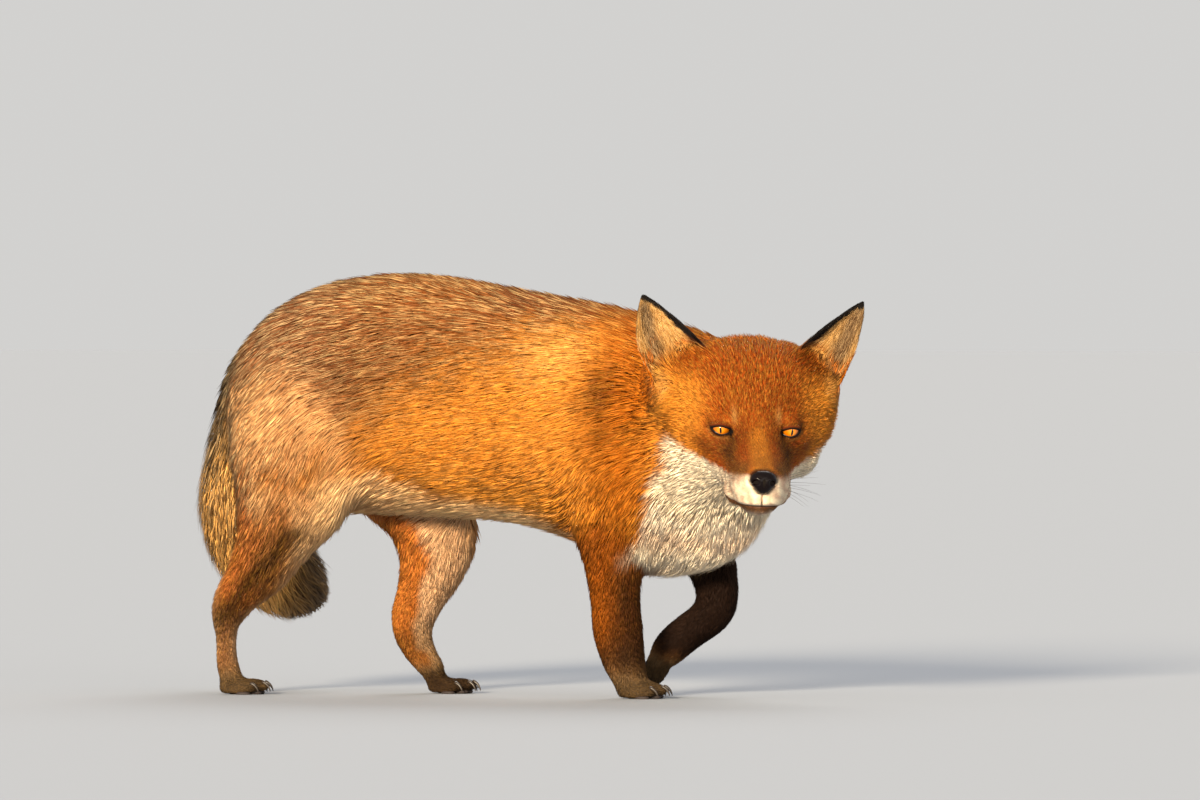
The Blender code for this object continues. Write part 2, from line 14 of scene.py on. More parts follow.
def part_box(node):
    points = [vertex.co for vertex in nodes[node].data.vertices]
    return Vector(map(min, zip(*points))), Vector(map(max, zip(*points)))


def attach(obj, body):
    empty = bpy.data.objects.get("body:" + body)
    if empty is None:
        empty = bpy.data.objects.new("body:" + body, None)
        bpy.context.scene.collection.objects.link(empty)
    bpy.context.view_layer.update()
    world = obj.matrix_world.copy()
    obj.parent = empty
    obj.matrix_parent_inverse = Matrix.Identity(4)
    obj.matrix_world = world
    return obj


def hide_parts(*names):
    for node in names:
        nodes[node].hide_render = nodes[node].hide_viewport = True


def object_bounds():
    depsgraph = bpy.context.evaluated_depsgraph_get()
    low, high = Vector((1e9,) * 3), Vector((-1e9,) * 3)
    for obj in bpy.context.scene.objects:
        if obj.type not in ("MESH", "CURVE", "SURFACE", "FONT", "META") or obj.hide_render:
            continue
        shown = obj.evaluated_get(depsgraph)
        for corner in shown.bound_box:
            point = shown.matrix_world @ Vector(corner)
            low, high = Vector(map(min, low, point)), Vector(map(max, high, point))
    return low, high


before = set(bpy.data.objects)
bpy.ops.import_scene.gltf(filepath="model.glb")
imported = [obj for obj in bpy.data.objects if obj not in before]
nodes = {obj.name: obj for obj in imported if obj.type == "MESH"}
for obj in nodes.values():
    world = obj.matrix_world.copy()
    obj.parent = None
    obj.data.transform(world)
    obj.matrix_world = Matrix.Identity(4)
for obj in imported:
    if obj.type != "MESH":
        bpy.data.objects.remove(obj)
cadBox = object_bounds()

# the head's own place and turn, and where its eyeballs sit in it
headSetup = {
    "place": (0.3313, -0.1136, 0.2450),
    "yaw": -64.5,
    "pitch": 18.0,
    "roll": 2.0,
    "eye": (-0.0068, 0.0306, 0.0010),
    "eyeGaze": 11.0,
    "eyeTilt": -7.0,
}


def turned(yaw, pitch=0.0, roll=0.0):
    result = Matrix.Rotation(math.radians(yaw), 4, "Z")
    result = result @ Matrix.Rotation(math.radians(pitch), 4, "X")
    return result @ Matrix.Rotation(math.radians(roll), 4, "Y")


def along(forward, left, up):  # a direction, or a place in a frame of its own
    return Vector((left, -forward, up))


def boxMiddle(name):
    low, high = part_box(name)
    return (low + high) / 2


headTurn = turned(headSetup["yaw"], headSetup["pitch"], headSetup["roll"])
eyesMiddle = (boxMiddle("eye_left") + boxMiddle("eye_right")) / 2
headOrigin = eyesMiddle - headTurn @ along(headSetup["eye"][0], 0, headSetup["eye"][2])
headFrame = Matrix.Translation(headOrigin) @ headTurn
bodyOrigin = headOrigin - along(*headSetup["place"])  # where (0, 0, 0) of the fox's own places lies


def place(forward, left, up):
    return bodyOrigin + along(forward, left, up)


def eyeFrame(side):
    forward, left, up = headSetup["eye"]
    centre = Matrix.Translation(along(forward, side * left, up))
    return headFrame @ centre @ turned(side * headSetup["eyeGaze"], 0, -side * headSetup["eyeTilt"])


def toFrame(matrix, points):  # points as (forward, left, up) of a frame
    inverse = np.array(matrix.inverted())
    local = points @ inverse[:3, :3].T + inverse[:3, 3]
    return np.stack([-local[:, 1], local[:, 0], local[:, 2]], 1)


def toBody(points):
    return toFrame(Matrix.Translation(bodyOrigin), points)


def smooth(edge0, edge1, value):
    t = np.clip((value - edge0) / (edge1 - edge0), 0, 1)
    return t * t * (3 - 2 * t)


def linked(name, data):  # a new object in the scene
    obj = bpy.data.objects.new(name, data)
    bpy.context.scene.collection.objects.link(obj)
    return obj


def newObject(name, bm, material):
    mesh = bpy.data.meshes.new(name)
    bm.to_mesh(mesh)
    bm.free()
    for polygon in mesh.polygons:
        polygon.use_smooth = True
    mesh.materials.append(material)
    obj = linked(name, mesh)
    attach(obj, "root")
    return obj


class Value:  # one socket, so that shader maths reads as an expression
    def __init__(self, material, socket):
        self.material = material
        self.socket = socket

    def output(self, number):  # another output of the same node
        return Value(self.material, self.socket.node.outputs[number])

    def math(self, operation, other, flipped=False):
        a, b = (other, self) if flipped else (self, other)
        return self.material.node("ShaderNodeMath", {"operation": operation}, {0: a, 1: b})

    def __add__(self, other):
        return self.math("ADD", other)

    def __radd__(self, other):
        return self.math("ADD", other, True)

    def __sub__(self, other):
        return self.math("SUBTRACT", other)

    def __rsub__(self, other):
        return self.math("SUBTRACT", other, True)

    def __mul__(self, other):
        return self.math("MULTIPLY", other)

    def __rmul__(self, other):
        return self.math("MULTIPLY", other, True)

    def __truediv__(self, other):
        return self.math("DIVIDE", other)

    def __pow__(self, other):
        return self.math("POWER", other)


class Finish:  # one material with its Principled shader
    def __init__(self, name, roughness=0.8, specular=0.5):
        self.data = bpy.data.materials.new(name)
        self.data.use_nodes = True
        self.tree = self.data.node_tree
        self.shader = self.tree.nodes["Principled BSDF"]
        self.shader.inputs["Roughness"].default_value = roughness
        self.shader.inputs["Specular IOR Level"].default_value = specular

    def put(self, socket, value):
        if isinstance(value, Value):
            self.tree.links.new(value.socket, socket)
        else:
            socket.default_value = value

    def node(self, kind, settings, inputs, output=0):
        made = self.tree.nodes.new(kind)
        for key, setting in settings.items():
            if key == "stops":
                ramp = made.color_ramp
                while len(ramp.elements) < len(setting):
                    ramp.elements.new(0.5)
                for element, (position, colour) in zip(ramp.elements, setting):
                    element.position = position
                    element.color = colour
            else:
                setattr(made, key, setting)
        for key, value in inputs.items():
            self.put(made.inputs[key], value)
        return Value(self, made.outputs[output])

    def mix(self, factor, a, b, blend="MIX"):
        settings = {"data_type": "RGBA", "blend_type": blend}
        return self.node("ShaderNodeMix", settings, {0: factor, 6: a, 7: b}, 2)

    def feed(self, name, value):
        self.put(self.shader.inputs[name], value)
        return self


def srgb(red, green, blue):
    def linear(value):
        value /= 255
        return value / 12.92 if value <= 0.04045 else ((value + 0.055) / 1.055) ** 2.4
    return np.array([linear(red), linear(green), linear(blue)])


# The lie of the coat. Each row: place, which way the hair lies, its length, how far the skin is below
# the coat's outline and how wide a lock is, in millimetres. On the trunk, the thighs and the head, a
# row with a left part stands for both sides.
trunkLie = (
    ((0.180, 0.000, 0.350), (-1.0, 0.0, -0.15), 30, 9.0, 1.7),
    ((0.060, 0.000, 0.376), (-1.0, 0.0, 0.00), 30, 9.0, 1.7),
    ((-0.070, 0.000, 0.386), (-1.0, 0.0, -0.10), 30, 9.0, 1.7),
    ((-0.150, 0.000, 0.370), (-0.8, 0.0, -0.50), 30, 9.0, 1.7),
    ((-0.200, 0.000, 0.330), (-0.5, 0.0, -0.90), 28, 9.0, 1.7),
    ((0.160, 0.082, 0.270), (-1.0, 0.0, -0.30), 27, 9.0, 1.7),
    ((0.080, 0.083, 0.250), (-1.0, 0.0, -0.20), 27, 9.0, 1.7),
    ((-0.020, 0.078, 0.260), (-1.0, 0.0, -0.20), 27, 9.0, 1.7),
    ((-0.090, 0.076, 0.290), (-0.9, 0.0, -0.35), 26, 9.0, 1.7),
    ((0.110, 0.065, 0.180), (-1.0, 0.0, -0.25), 26, 9.0, 1.7),
    ((0.010, 0.062, 0.185), (-1.0, 0.0, -0.10), 28, 9.0, 1.7),
    ((-0.050, 0.062, 0.190), (-0.9, 0.0, -0.45), 28, 9.0, 1.8),
    ((0.070, 0.000, 0.158), (-1.0, 0.0, -0.10), 24, 8.0, 1.8),
    ((-0.040, 0.000, 0.164), (-1.0, 0.0, -0.20), 26, 8.0, 1.8),
    ((0.150, 0.000, 0.125), (-0.8, 0.0, -0.50), 26, 9.0, 1.8),
)
thighLie = (
    ((-0.140, 0.090, 0.270), (-0.6, 0.0, -0.80), 25, 8.5, 1.7),
    ((-0.130, 0.095, 0.220), (-0.4, 0.0, -0.95), 25, 8.5, 1.7),
    ((-0.190, 0.060, 0.230), (-0.4, 0.0, -1.00), 28, 9.0, 1.7),
)
neckLie = (
    ((0.240, -0.020, 0.330), (-1.0, 0.3, -0.10), 30, 9.0, 1.7),
    ((0.270, 0.045, 0.260), (-0.9, 0.35, -0.40), 32, 11.0, 1.8),
    ((0.210, -0.085, 0.250), (-1.0, 0.0, -0.35), 30, 10.0, 1.8),
    ((0.230, -0.060, 0.160), (-0.6, 0.0, -0.90), 34, 12.0, 1.6),
    ((0.290, -0.080, 0.160), (-0.3, 0.2, -1.00), 34, 12.0, 1.6),
    ((0.290, -0.020, 0.180), (-0.2, 0.2, -1.00), 34, 12.0, 1.6),
    ((0.240, 0.000, 0.120), (-0.5, 0.0, -1.00), 34, 11.0, 1.6),
    ((0.190, 0.000, 0.110), (-0.8, 0.0, -0.60), 28, 10.0, 1.9),
)
hindRightLie = (
    ((-0.160, -0.060, 0.140), (-0.45, 0.0, -0.90), 20, 6.5, 1.6),
    ((-0.150, -0.030, 0.160), (-0.45, 0.0, -0.90), 18, 6.0, 1.6),
    ((-0.190, -0.048, 0.095), (-0.40, 0.0, -0.95), 12, 4.0, 1.3),
    ((-0.208, -0.046, 0.060), (-0.05, 0.0, -1.00), 9, 2.2, 1.1),
    ((-0.208, -0.046, 0.030), (0.10, 0.0, -1.00), 7, 2.0, 1.0),
    ((-0.185, -0.046, 0.012), (1.00, 0.0, -0.20), 6, 1.6, 0.9),
)
hindLeftLie = (
    ((-0.100, 0.090, 0.230), (-0.20, 0.0, -1.00), 24, 8.5, 1.7),
    ((-0.050, 0.060, 0.170), (0.20, 0.0, -1.00), 22, 7.0, 1.7),
    ((-0.040, 0.052, 0.130), (-0.05, 0.0, -1.00), 16, 5.0, 1.5),
    ((-0.055, 0.046, 0.090), (-0.35, 0.0, -0.95), 11, 3.5, 1.3),
    ((-0.062, 0.044, 0.060), (0.10, 0.0, -1.00), 9, 2.4, 1.1),
    ((-0.045, 0.044, 0.030), (0.55, 0.0, -0.85), 7, 2.0, 1.0),
    ((-0.012, 0.044, 0.012), (1.00, 0.0, -0.20), 6, 1.6, 0.9),
)
foreRightLie = (
    ((0.160, -0.070, 0.170), (-0.35, 0.0, -0.95), 22, 7.0, 1.7),
    ((0.165, -0.050, 0.130), (-0.25, 0.0, -1.00), 15, 4.5, 1.4),
    ((0.172, -0.046, 0.090), (-0.10, 0.0, -1.00), 11, 3.0, 1.2),
    ((0.175, -0.044, 0.050), (-0.10, 0.0, -1.00), 9, 2.2, 1.1),
    ((0.182, -0.044, 0.025), (0.30, 0.0, -1.00), 7, 2.0, 1.0),
    ((0.205, -0.044, 0.012), (1.00, 0.0, -0.20), 6, 1.6, 0.9),
)
foreLeftLie = (
    ((0.220, 0.060, 0.170), (-0.10, 0.0, -1.00), 20, 7.0, 1.7),
    ((0.230, 0.045, 0.130), (-0.05, 0.0, -1.00), 14, 4.0, 1.4),
    ((0.240, 0.043, 0.100), (0.00, 0.0, -1.00), 11, 3.0, 1.2),
    ((0.238, 0.042, 0.076), (-0.50, 0.0, -0.85), 9, 2.2, 1.1),
    ((0.205, 0.042, 0.055), (-0.80, 0.0, -0.60), 8, 2.0, 1.0),
    ((0.180, 0.042, 0.020), (-0.45, 0.0, -0.90), 6, 1.6, 0.9),
)
tailLie = (
    ((-0.200, 0.000, 0.300), (-0.5, 0.0, -0.90), 34, 9.0, 1.8),
    ((-0.215, 0.005, 0.250), (-0.2, 0.1, -1.00), 42, 11.0, 2.0),
    ((-0.220, 0.022, 0.190), (-0.1, 0.4, -1.00), 46, 14.0, 2.1),
    ((-0.220, 0.055, 0.142), (0.0, 0.9, -0.80), 46, 14.0, 2.1),
    ((-0.212, 0.090, 0.112), (0.1, 1.0, -0.50), 42, 13.0, 2.1),
    ((-0.203, 0.130, 0.095), (0.1, 1.0, -0.45), 42, 11.5, 2.2),
    ((-0.198, 0.155, 0.087), (0.1, 1.0, -0.35), 34, 7.0, 2.0),
)
# These are places and lies in the head's own frame.
headLie = (
    ((0.076, 0.008, -0.020), (-0.6, 1.0, 0.40), 2.5, 0.7, 0.84),
    ((0.066, 0.000, -0.010), (-1.0, 0.0, 0.30), 3.0, 0.8, 0.84),
    ((0.060, 0.022, -0.030), (-1.0, 0.5, 0.10), 4.0, 1.0, 0.98),
    ((0.060, 0.012, -0.054), (-1.0, 0.3, -0.30), 5.0, 1.2, 0.98),
    ((0.040, 0.000, -0.004), (-1.0, 0.0, 0.40), 4.5, 1.0, 0.98),
    ((0.030, 0.028, -0.030), (-1.0, 0.6, 0.00), 7.3, 1.4, 1.12),
    ((0.030, 0.012, -0.060), (-1.0, 0.2, -0.50), 12.2, 2.5, 1.26),
    ((0.010, 0.000, 0.008), (-1.0, 0.0, 0.50), 7.3, 1.4, 1.12),
    ((0.004, 0.022, 0.008), (-0.9, 0.3, 0.70), 6.7, 1.2, 1.12),
    ((-0.004, 0.042, -0.014), (-0.9, 1.0, -0.20), 8.5, 1.4, 1.12),
    ((-0.010, 0.020, 0.024), (-0.8, 0.1, 0.70), 9.8, 2.0, 1.26),
    ((-0.014, 0.048, 0.004), (-0.9, 0.9, 0.30), 9.8, 1.8, 1.26),
    ((-0.020, 0.044, -0.040), (-0.8, 1.0, -0.60), 17.1, 3.5, 1.54),
    ((-0.030, 0.000, 0.040), (-0.9, 0.0, 0.40), 11.0, 2.4, 1.4),
    ((-0.045, 0.072, -0.010), (-0.7, 1.0, -0.25), 19.5, 4.5, 1.68),
    ((-0.045, 0.060, -0.045), (-0.6, 1.0, -0.80), 26.8, 6.5, 1.96),
    ((-0.010, 0.015, -0.070), (-0.9, 0.2, -0.60), 22.0, 5.0, 1.96),
    ((-0.060, 0.000, 0.056), (-1.0, 0.0, 0.10), 15.9, 3.5, 1.68),
    ((-0.055, 0.055, 0.040), (-0.8, 0.7, 0.40), 11.0, 2.5, 1.4),
    ((-0.085, 0.072, 0.000), (-1.0, 0.4, -0.30), 24.4, 6.0, 1.96),
    ((-0.090, 0.000, 0.055), (-1.0, 0.0, -0.10), 24.4, 5.5, 1.96),
    ((-0.060, 0.060, 0.050), (-0.1, 0.7, 1.00), 17.0, 1.7, 1.2),
    ((-0.075, 0.070, 0.060), (-0.1, 0.6, 1.00), 16.0, 1.6, 1.2),
    ((-0.070, 0.084, 0.080), (-0.1, 0.45, 1.00), 13.0, 1.2, 1.1),
    ((-0.054, 0.084, 0.018), (-0.4, 0.9, -0.60), 18.0, 3.0, 1.4),
    ((-0.064, 0.098, 0.104), (-0.1, 0.3, 1.00), 5.0, 0.7, 1.1),
)


def lieTable():
    rows = []
    for table in (trunkLie, thighLie, neckLie, hindRightLie, hindLeftLie, foreRightLie, foreLeftLie, tailLie):
        mirrored = table in (trunkLie, thighLie)
        for spot, lie, *sizes in table:
            for side in ((1, -1) if mirrored and spot[1] else (1,)):
                where = place(spot[0], side * spot[1], spot[2])
                way = along(lie[0], side * lie[1], lie[2]).normalized()
                rows.append((*where, *way, *sizes))
    for spot, lie, *sizes in headLie:
        for side in ((1, -1) if spot[1] else (1,)):
            where = headFrame @ along(spot[0], side * spot[1], spot[2])
            way = (headTurn @ along(lie[0], side * lie[1], lie[2])).normalized()
            rows.append((*where, *way, *sizes))
    return np.array(rows)


lieRows = lieTable()


def coatAt(points):
    # blends the rows of the table: direction, length, depth and width at each point
    result = np.zeros((len(points), 6))
    batch = 20000  # points at a time, to save memory
    for start in range(0, len(points), batch):
        chunk = points[start:start + batch]
        distance = ((chunk[:, None, :] - lieRows[None, :, :3]) ** 2).sum(2) + 0.005 ** 2
        weight = distance ** -2.5
        weight /= weight.sum(1, keepdims=True)
        result[start:start + batch] = weight @ lieRows[:, 3:]
    lie = result[:, :3]
    lie /= np.linalg.norm(lie, axis=1, keepdims=True) + 1e-9
    return lie, result[:, 3] / 1000, result[:, 4] / 1000, result[:, 5] / 1000


skinSetup = {
    "flesh": ("trunk", "neck", "head", "jaw", "tail", "ear_left", "ear_right"),
    "limbs": ("hind_right", "hind_left", "fore_right", "fore_left"),
    "swell": 0.0005,  # closes the gaps between neighbouring nodes
    "voxel": 0.0019,
    "evening": 22,  # rounds of smoothing over the melted nodes
    "bodyTriangles": 120000,
    "lidThickness": 0.0013,
}
eyeRadius = (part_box("eye_left")[1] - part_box("eye_left")[0]).z / 2
# the opening between the lids in the eye's own frame: outwards and up, in millimetres
lidSetup = {"inner": (-9.4, -2.0), "outer": (8.9, 1.1), "rise": 3.6, "drop": 3.7, "tube": 0.50}
# the line between the lips, (forward, up) in the head's frame
lipLine = ((0.0215, -0.0378), (0.0290, -0.0412), (0.0360, -0.0446), (0.0440, -0.0470), (0.0520, -0.0482),
           (0.0640, -0.0474), (0.0780, -0.0450), (0.0900, -0.0437))


def meshArrays(mesh):
    points = np.empty(len(mesh.vertices) * 3)
    mesh.vertices.foreach_get("co", points)
    edges = np.empty(len(mesh.edges) * 2, np.int64)
    mesh.edges.foreach_get("vertices", edges)
    return points.reshape(-1, 3), edges.reshape(-1, 2)


def movePoints(mesh, points):
    mesh.vertices.foreach_set("co", points.ravel())
    mesh.update()


def vertexNormals(mesh):
    normals = np.empty(len(mesh.vertices) * 3)
    mesh.vertex_normals.foreach_get("vector", normals)
    return normals.reshape(-1, 3)


def averaged(values, edges, rounds, strength=0.5):
    # each value drawn towards the mean of its neighbours
    count = np.bincount(edges.ravel(), minlength=len(values)).astype(float)
    count[count == 0] = 1
    for _ in range(rounds):
        total = np.empty_like(values)
        for axis in range(values.shape[1]):
            column = values[:, axis]
            total[:, axis] = np.bincount(edges[:, 0], column[edges[:, 1]], len(values))
            total[:, axis] += np.bincount(edges[:, 1], column[edges[:, 0]], len(values))
        values = values + (total / count[:, None] - values) * strength
    return values


def evaluated(obj):
    bpy.context.view_layer.update()
    graph = bpy.context.evaluated_depsgraph_get()
    return bpy.data.meshes.new_from_object(obj.evaluated_get(graph))


def mergedCopy(name, swell=0.0):
    bm = bmesh.new()
    bm.from_mesh(nodes[name].data)
    bmesh.ops.remove_doubles(bm, verts=bm.verts, dist=1e-6)
    bm.normal_update()
    for vert in bm.verts:
        vert.co += vert.normal * swell
    mesh = bpy.data.meshes.new(name + "Copy")
    bm.to_mesh(mesh)
    bm.free()
    return mesh


def keepLargest(bm):
    left = set(bm.verts)
    best = set()
    while left:
        start = left.pop()
        piece = {start}
        front = [start]
        while front:
            following = []
            for vert in front:
                for edge in vert.link_edges:
                    other = edge.other_vert(vert)
                    if other not in piece:
                        piece.add(other)
                        following.append(other)
            front = following
        left -= piece
        if len(piece) > len(best):
            best = piece
    bmesh.ops.delete(bm, geom=[v for v in bm.verts if v not in best], context="VERTS")


def lidOutline(count=72):
    # the almond opening as points (outwards, up), from the inner corner over the top and back
    inner, outer = np.array(lidSetup["inner"]), np.array(lidSetup["outer"])
    t = (1 - np.cos(np.linspace(0, math.pi, count // 2 + 1))) / 2
    base = inner + (outer - inner) * t[:, None]
    arch = np.sin(math.pi * t ** 0.92) ** 0.85
    upper, lower = base.copy(), base.copy()
    upper[:, 1] += lidSetup["rise"] * arch
    lower[:, 1] -= lidSetup["drop"] * arch
    return np.concatenate([upper, lower[-2:0:-1]]) / 1000


def lidDistance(outwards, up):
    # how far outside the opening a point lies, less than zero inside it
    outline = lidOutline()
    points = np.stack([outwards, up], 1)
    start, end = outline, np.roll(outline, -1, 0)
    edge = end - start
    toPoint = points[:, None, :] - start[None]
    t = np.clip((toPoint * edge).sum(2) / (edge ** 2).sum(1), 0, 1)
    nearest = np.sqrt(((toPoint - t[..., None] * edge) ** 2).sum(2).min(1))
    crossing = (start[:, 1] > points[:, None, 1]) != (end[:, 1] > points[:, None, 1])
    with np.errstate(divide="ignore", invalid="ignore"):
        at = start[:, 0] + (points[:, None, 1] - start[:, 1]) / edge[:, 1] * edge[:, 0]
    inside = (crossing & (points[:, None, 0] < at)).sum(1) % 2 == 1
    return np.where(inside, -nearest, nearest)


def lipUp(forward):
    return np.interp(forward, *zip(*lipLine))


def nearEye(points, side, reach, behind=-1.0):
    # the points close to an eye, and their places (forward, outwards, up) in its own frame
    local = toFrame(eyeFrame(side), points) * (1, side, 1)
    near = np.where((np.linalg.norm(local, axis=1) < reach) & (local[:, 0] > behind))[0]
    return near, local[near]


def sculptFace(points, normals):
    # lids, lips and the parting under the nose
    head = toFrame(headFrame, points)
    for side in (1, -1):
        near, local = nearEye(points, side, 0.024, -0.006)
        forward, outwards, up = local.T
        distance = lidDistance(outwards, up)
        square = outwards ** 2 + up ** 2
        lid = np.sqrt(np.maximum((eyeRadius + skinSetup["lidThickness"]) ** 2 - square, 1e-8))
        lid += 0.0005 * np.exp(-((distance - 0.0016) / 0.0009) ** 2)
        lid -= 0.0007 * np.exp(-((distance - 0.0036) / 0.0009) ** 2) * (up > 0)
        lid = np.maximum(lid, forward - 0.003)
        hug = 1 - smooth(0.0018, 0.0075, distance)
        hug *= smooth(0.0125, 0.0105, np.sqrt(square)) * 0.9 + 0.1
        target = forward * (1 - hug) + lid * hug
        socket = np.sqrt(np.maximum((eyeRadius - 0.0022) ** 2 - square, 1e-8)) - 0.0004
        opened = smooth(0.0001, -0.0005, distance)
        target = target * (1 - opened) + np.minimum(socket, target) * opened
        outward = np.array(eyeFrame(side).to_3x3() @ along(1, 0, 0))
        points[near] += (target - forward)[:, None] * outward
    forward, left, up = head[:, 0], head[:, 1], head[:, 2]
    lips = smooth(0.020, 0.026, forward) * (np.abs(left) < 0.040)
    step = up - lipUp(forward)
    groove = -0.0016 * np.exp(-(step / 0.0009) ** 2)
    flew = 0.0010 * np.exp(-((step - 0.0040) / 0.0028) ** 2)
    chin = -0.0012 * smooth(0.0, -0.0016, step) * smooth(-0.022, -0.008, step)
    points += normals * ((groove + flew + chin) * lips)[:, None]
    parting = smooth(0.070, 0.076, forward) * (up < -0.028) * smooth(-0.046, -0.041, up)
    points += normals * (-0.0012 * np.exp(-(left / 0.0008) ** 2) * parting)[:, None]
    return points


def meltedNodes():
    # the flesh nodes as one closed mesh, on an object of its own
    bm = bmesh.new()
    names = list(skinSetup["flesh"])
    for limb in skinSetup["limbs"]:
        names += ["leg_" + limb, "paw_" + limb]
    for name in names:
        bm.from_mesh(mergedCopy(name, 0.0002 if name.startswith("ear") else skinSetup["swell"]))
    bm.from_mesh(mergedCopy("nose"))
    for side in (1, -1):
        bmesh.ops.create_uvsphere(bm, u_segments=24, v_segments=16, radius=eyeRadius + 0.0008,
                                  matrix=eyeFrame(side))
    rough = bpy.data.meshes.new("rough")
    bm.to_mesh(rough)
    bm.free()
    block = linked("rough", rough)
    remesh = block.modifiers.new("melt", "REMESH")
    remesh.mode = "VOXEL"
    remesh.voxel_size = skinSetup["voxel"]
    block.data = evaluated(block)
    block.modifiers.clear()
    bm = bmesh.new()
    bm.from_mesh(block.data)
    keepLargest(bm)
    bm.to_mesh(block.data)
    bm.free()
    return block


def lightened(block):
    # evened out and with fewer faces, least so on the face and the ears
    mesh = block.data
    points, edges = meshArrays(mesh)
    head = toFrame(headFrame, points)
    fine = smooth(-0.02, 0.0, head[:, 0]) * (np.abs(head[:, 1]) < 0.06) * (head[:, 2] > -0.07)
    ears = smooth(0.046, 0.058, head[:, 2]) * smooth(0.030, 0.040, np.abs(head[:, 1]))
    strength = 0.5 * (1 - 0.6 * fine) * (1 - 0.8 * ears)
    movePoints(mesh, averaged(points, edges, skinSetup["evening"], strength[:, None]))
    group = block.vertex_groups.new(name="lighten")
    keep = np.maximum(fine, ears)
    for level in range(5):
        chosen = np.where(np.round(keep * 4) == level)[0]
        group.add(chosen.tolist(), 1 - level / 4 * 0.85, "REPLACE")
    lighten = block.modifiers.new("lighten", "DECIMATE")
    lighten.vertex_group = "lighten"
    lighten.ratio = skinSetup["bodyTriangles"] / (2 * len(mesh.polygons))
    mesh = evaluated(block)
    bpy.data.objects.remove(block)
    return mesh


def refineFace(mesh):
    # finer faces for the lids and the lips, in two steps
    bm = bmesh.new()
    bm.from_mesh(mesh)
    bmesh.ops.triangulate(bm, faces=bm.faces)
    for reach, limit in ((1.0, 0.0016), (0.6, 0.0009)):
        points = np.array([v.co for v in bm.verts])
        fine = closeWork(points, reach)
        bm.verts.ensure_lookup_table()
        long = [e for e in bm.edges if (fine[e.verts[0].index] or fine[e.verts[1].index])
                and e.calc_length() > limit]
        bmesh.ops.subdivide_edges(bm, edges=long, cuts=1, use_grid_fill=False, smooth=0.0)
        bmesh.ops.triangulate(bm, faces=bm.faces)
        bm.verts.index_update()
    bm.to_mesh(mesh)
    bm.free()
    mesh.update()


def makeSkin():
    mesh = lightened(meltedNodes())
    refineFace(mesh)
    points, edges = meshArrays(mesh)
    normals = vertexNormals(mesh)
    _, _, depth, _ = coatAt(points)
    depth = averaged(depth[:, None], edges, 6)[:, 0]
    points = points - normals * depth[:, None]
    points[:, 2] = np.maximum(points[:, 2], 0.0002)  # stays above the floor
    points = averaged(points, edges, 2, 0.4)
    movePoints(mesh, points)
    movePoints(mesh, sculptFace(points, vertexNormals(mesh)))
    return mesh


def closeWork(points, reach):
    # the places where lids and lips need finer faces
    head = toFrame(headFrame, points)
    fine = np.zeros(len(points), bool)
    for side in (1, -1):
        local = toFrame(eyeFrame(side), points)
        fine |= (np.linalg.norm(local, axis=1) < 0.016 + 0.006 * reach) & (local[:, 0] > -0.002)
    step = np.abs(head[:, 2] - lipUp(head[:, 0]))
    fine |= (head[:, 0] > 0.018) & (step < 0.004 + 0.006 * reach) & (np.abs(head[:, 1]) < 0.040)
    return fine


skinMesh = makeSkin()
print("skin:", len(skinMesh.polygons), "triangles")


# the colours of the markings, the same for the skin and the coat
colours = {
    "orange": srgb(226, 146, 48),
    "amber": srgb(190, 98, 3),
    "face": srgb(158, 62, 0),
    "back": srgb(104, 38, 11),
    "rump": srgb(116, 58, 24),
    "grizzle": srgb(222, 160, 102),
    "cream": srgb(255, 206, 148),
    "greyCream": srgb(226, 184, 142),
    "lipFur": srgb(206, 172, 146),
    "amberTip": srgb(255, 186, 72),
    "white": srgb(254, 236, 208),
    "goldTip": srgb(255, 208, 128),
    "hairTip": srgb(255, 216, 160),
    "rust": srgb(122, 48, 4),
    "chestnut": srgb(150, 76, 8),
    "red": srgb(188, 84, 6),
    "sable": srgb(40, 22, 11),
    "black": srgb(22, 17, 15),
    "dusk": srgb(108, 62, 28),
    "buff": srgb(250, 186, 100),
    "inner": srgb(184, 136, 72),
    "greyInner": srgb(78, 52, 36),
    "lip": srgb(104, 62, 46),
}
partNames = ("head", "jaw", "neck", "trunk", "tail", "ear_left", "ear_right",
             "leg_hind_right", "leg_hind_left", "leg_fore_right", "leg_fore_left",
             "paw_hind_right", "paw_hind_left", "paw_fore_right", "paw_fore_left")


def partShares(points, edges):
    # how much of each node's part every point of the skin belongs to
    vertices, faces, owner = [], [], []
    for number, name in enumerate(partNames):
        mesh = nodes[name].data
        start = len(vertices)
        vertices += [v.co.copy() for v in mesh.vertices]
        faces += [tuple(start + i for i in p.vertices) for p in mesh.polygons]
        owner += [number] * len(mesh.polygons)
    tree = BVHTree.FromPolygons(vertices, faces)
    nearest = [tree.find_nearest(Vector(p))[2] for p in points]
    shares = np.zeros((len(points), len(partNames)))
    shares[np.arange(len(points)), np.array(owner)[nearest]] = 1
    return averaged(shares, edges, 10, 0.9), np.argmax(shares, 1)


def wobble(points, size, seed):
    # a smooth value between -1 and 1 that wanders over a distance of size
    rng = np.random.default_rng(seed)
    total = np.zeros(len(points))
    for _ in range(7):
        way = rng.normal(size=3)
        way *= 2 * math.pi / size / np.linalg.norm(way)
        total += np.sin(points @ way * rng.uniform(0.7, 1.4) + rng.uniform(0, 6.3))
    return np.clip(total / 3.2, -1, 1)


def painted(base, colour, share):
    share = np.clip(share, 0, 1)[:, None]
    return base * (1 - share) + colours[colour] * share


earSetup = {
    "spread": {1: 0.0, -1: 0.010},  # how much further each ear opens, left and right
    "hollow": {1: 0.0165, -1: 0.0125},  # how wide its dark middle is, the far left ear's wider as painted shade
    "rim": 0.0068,  # width of the dark rim
}


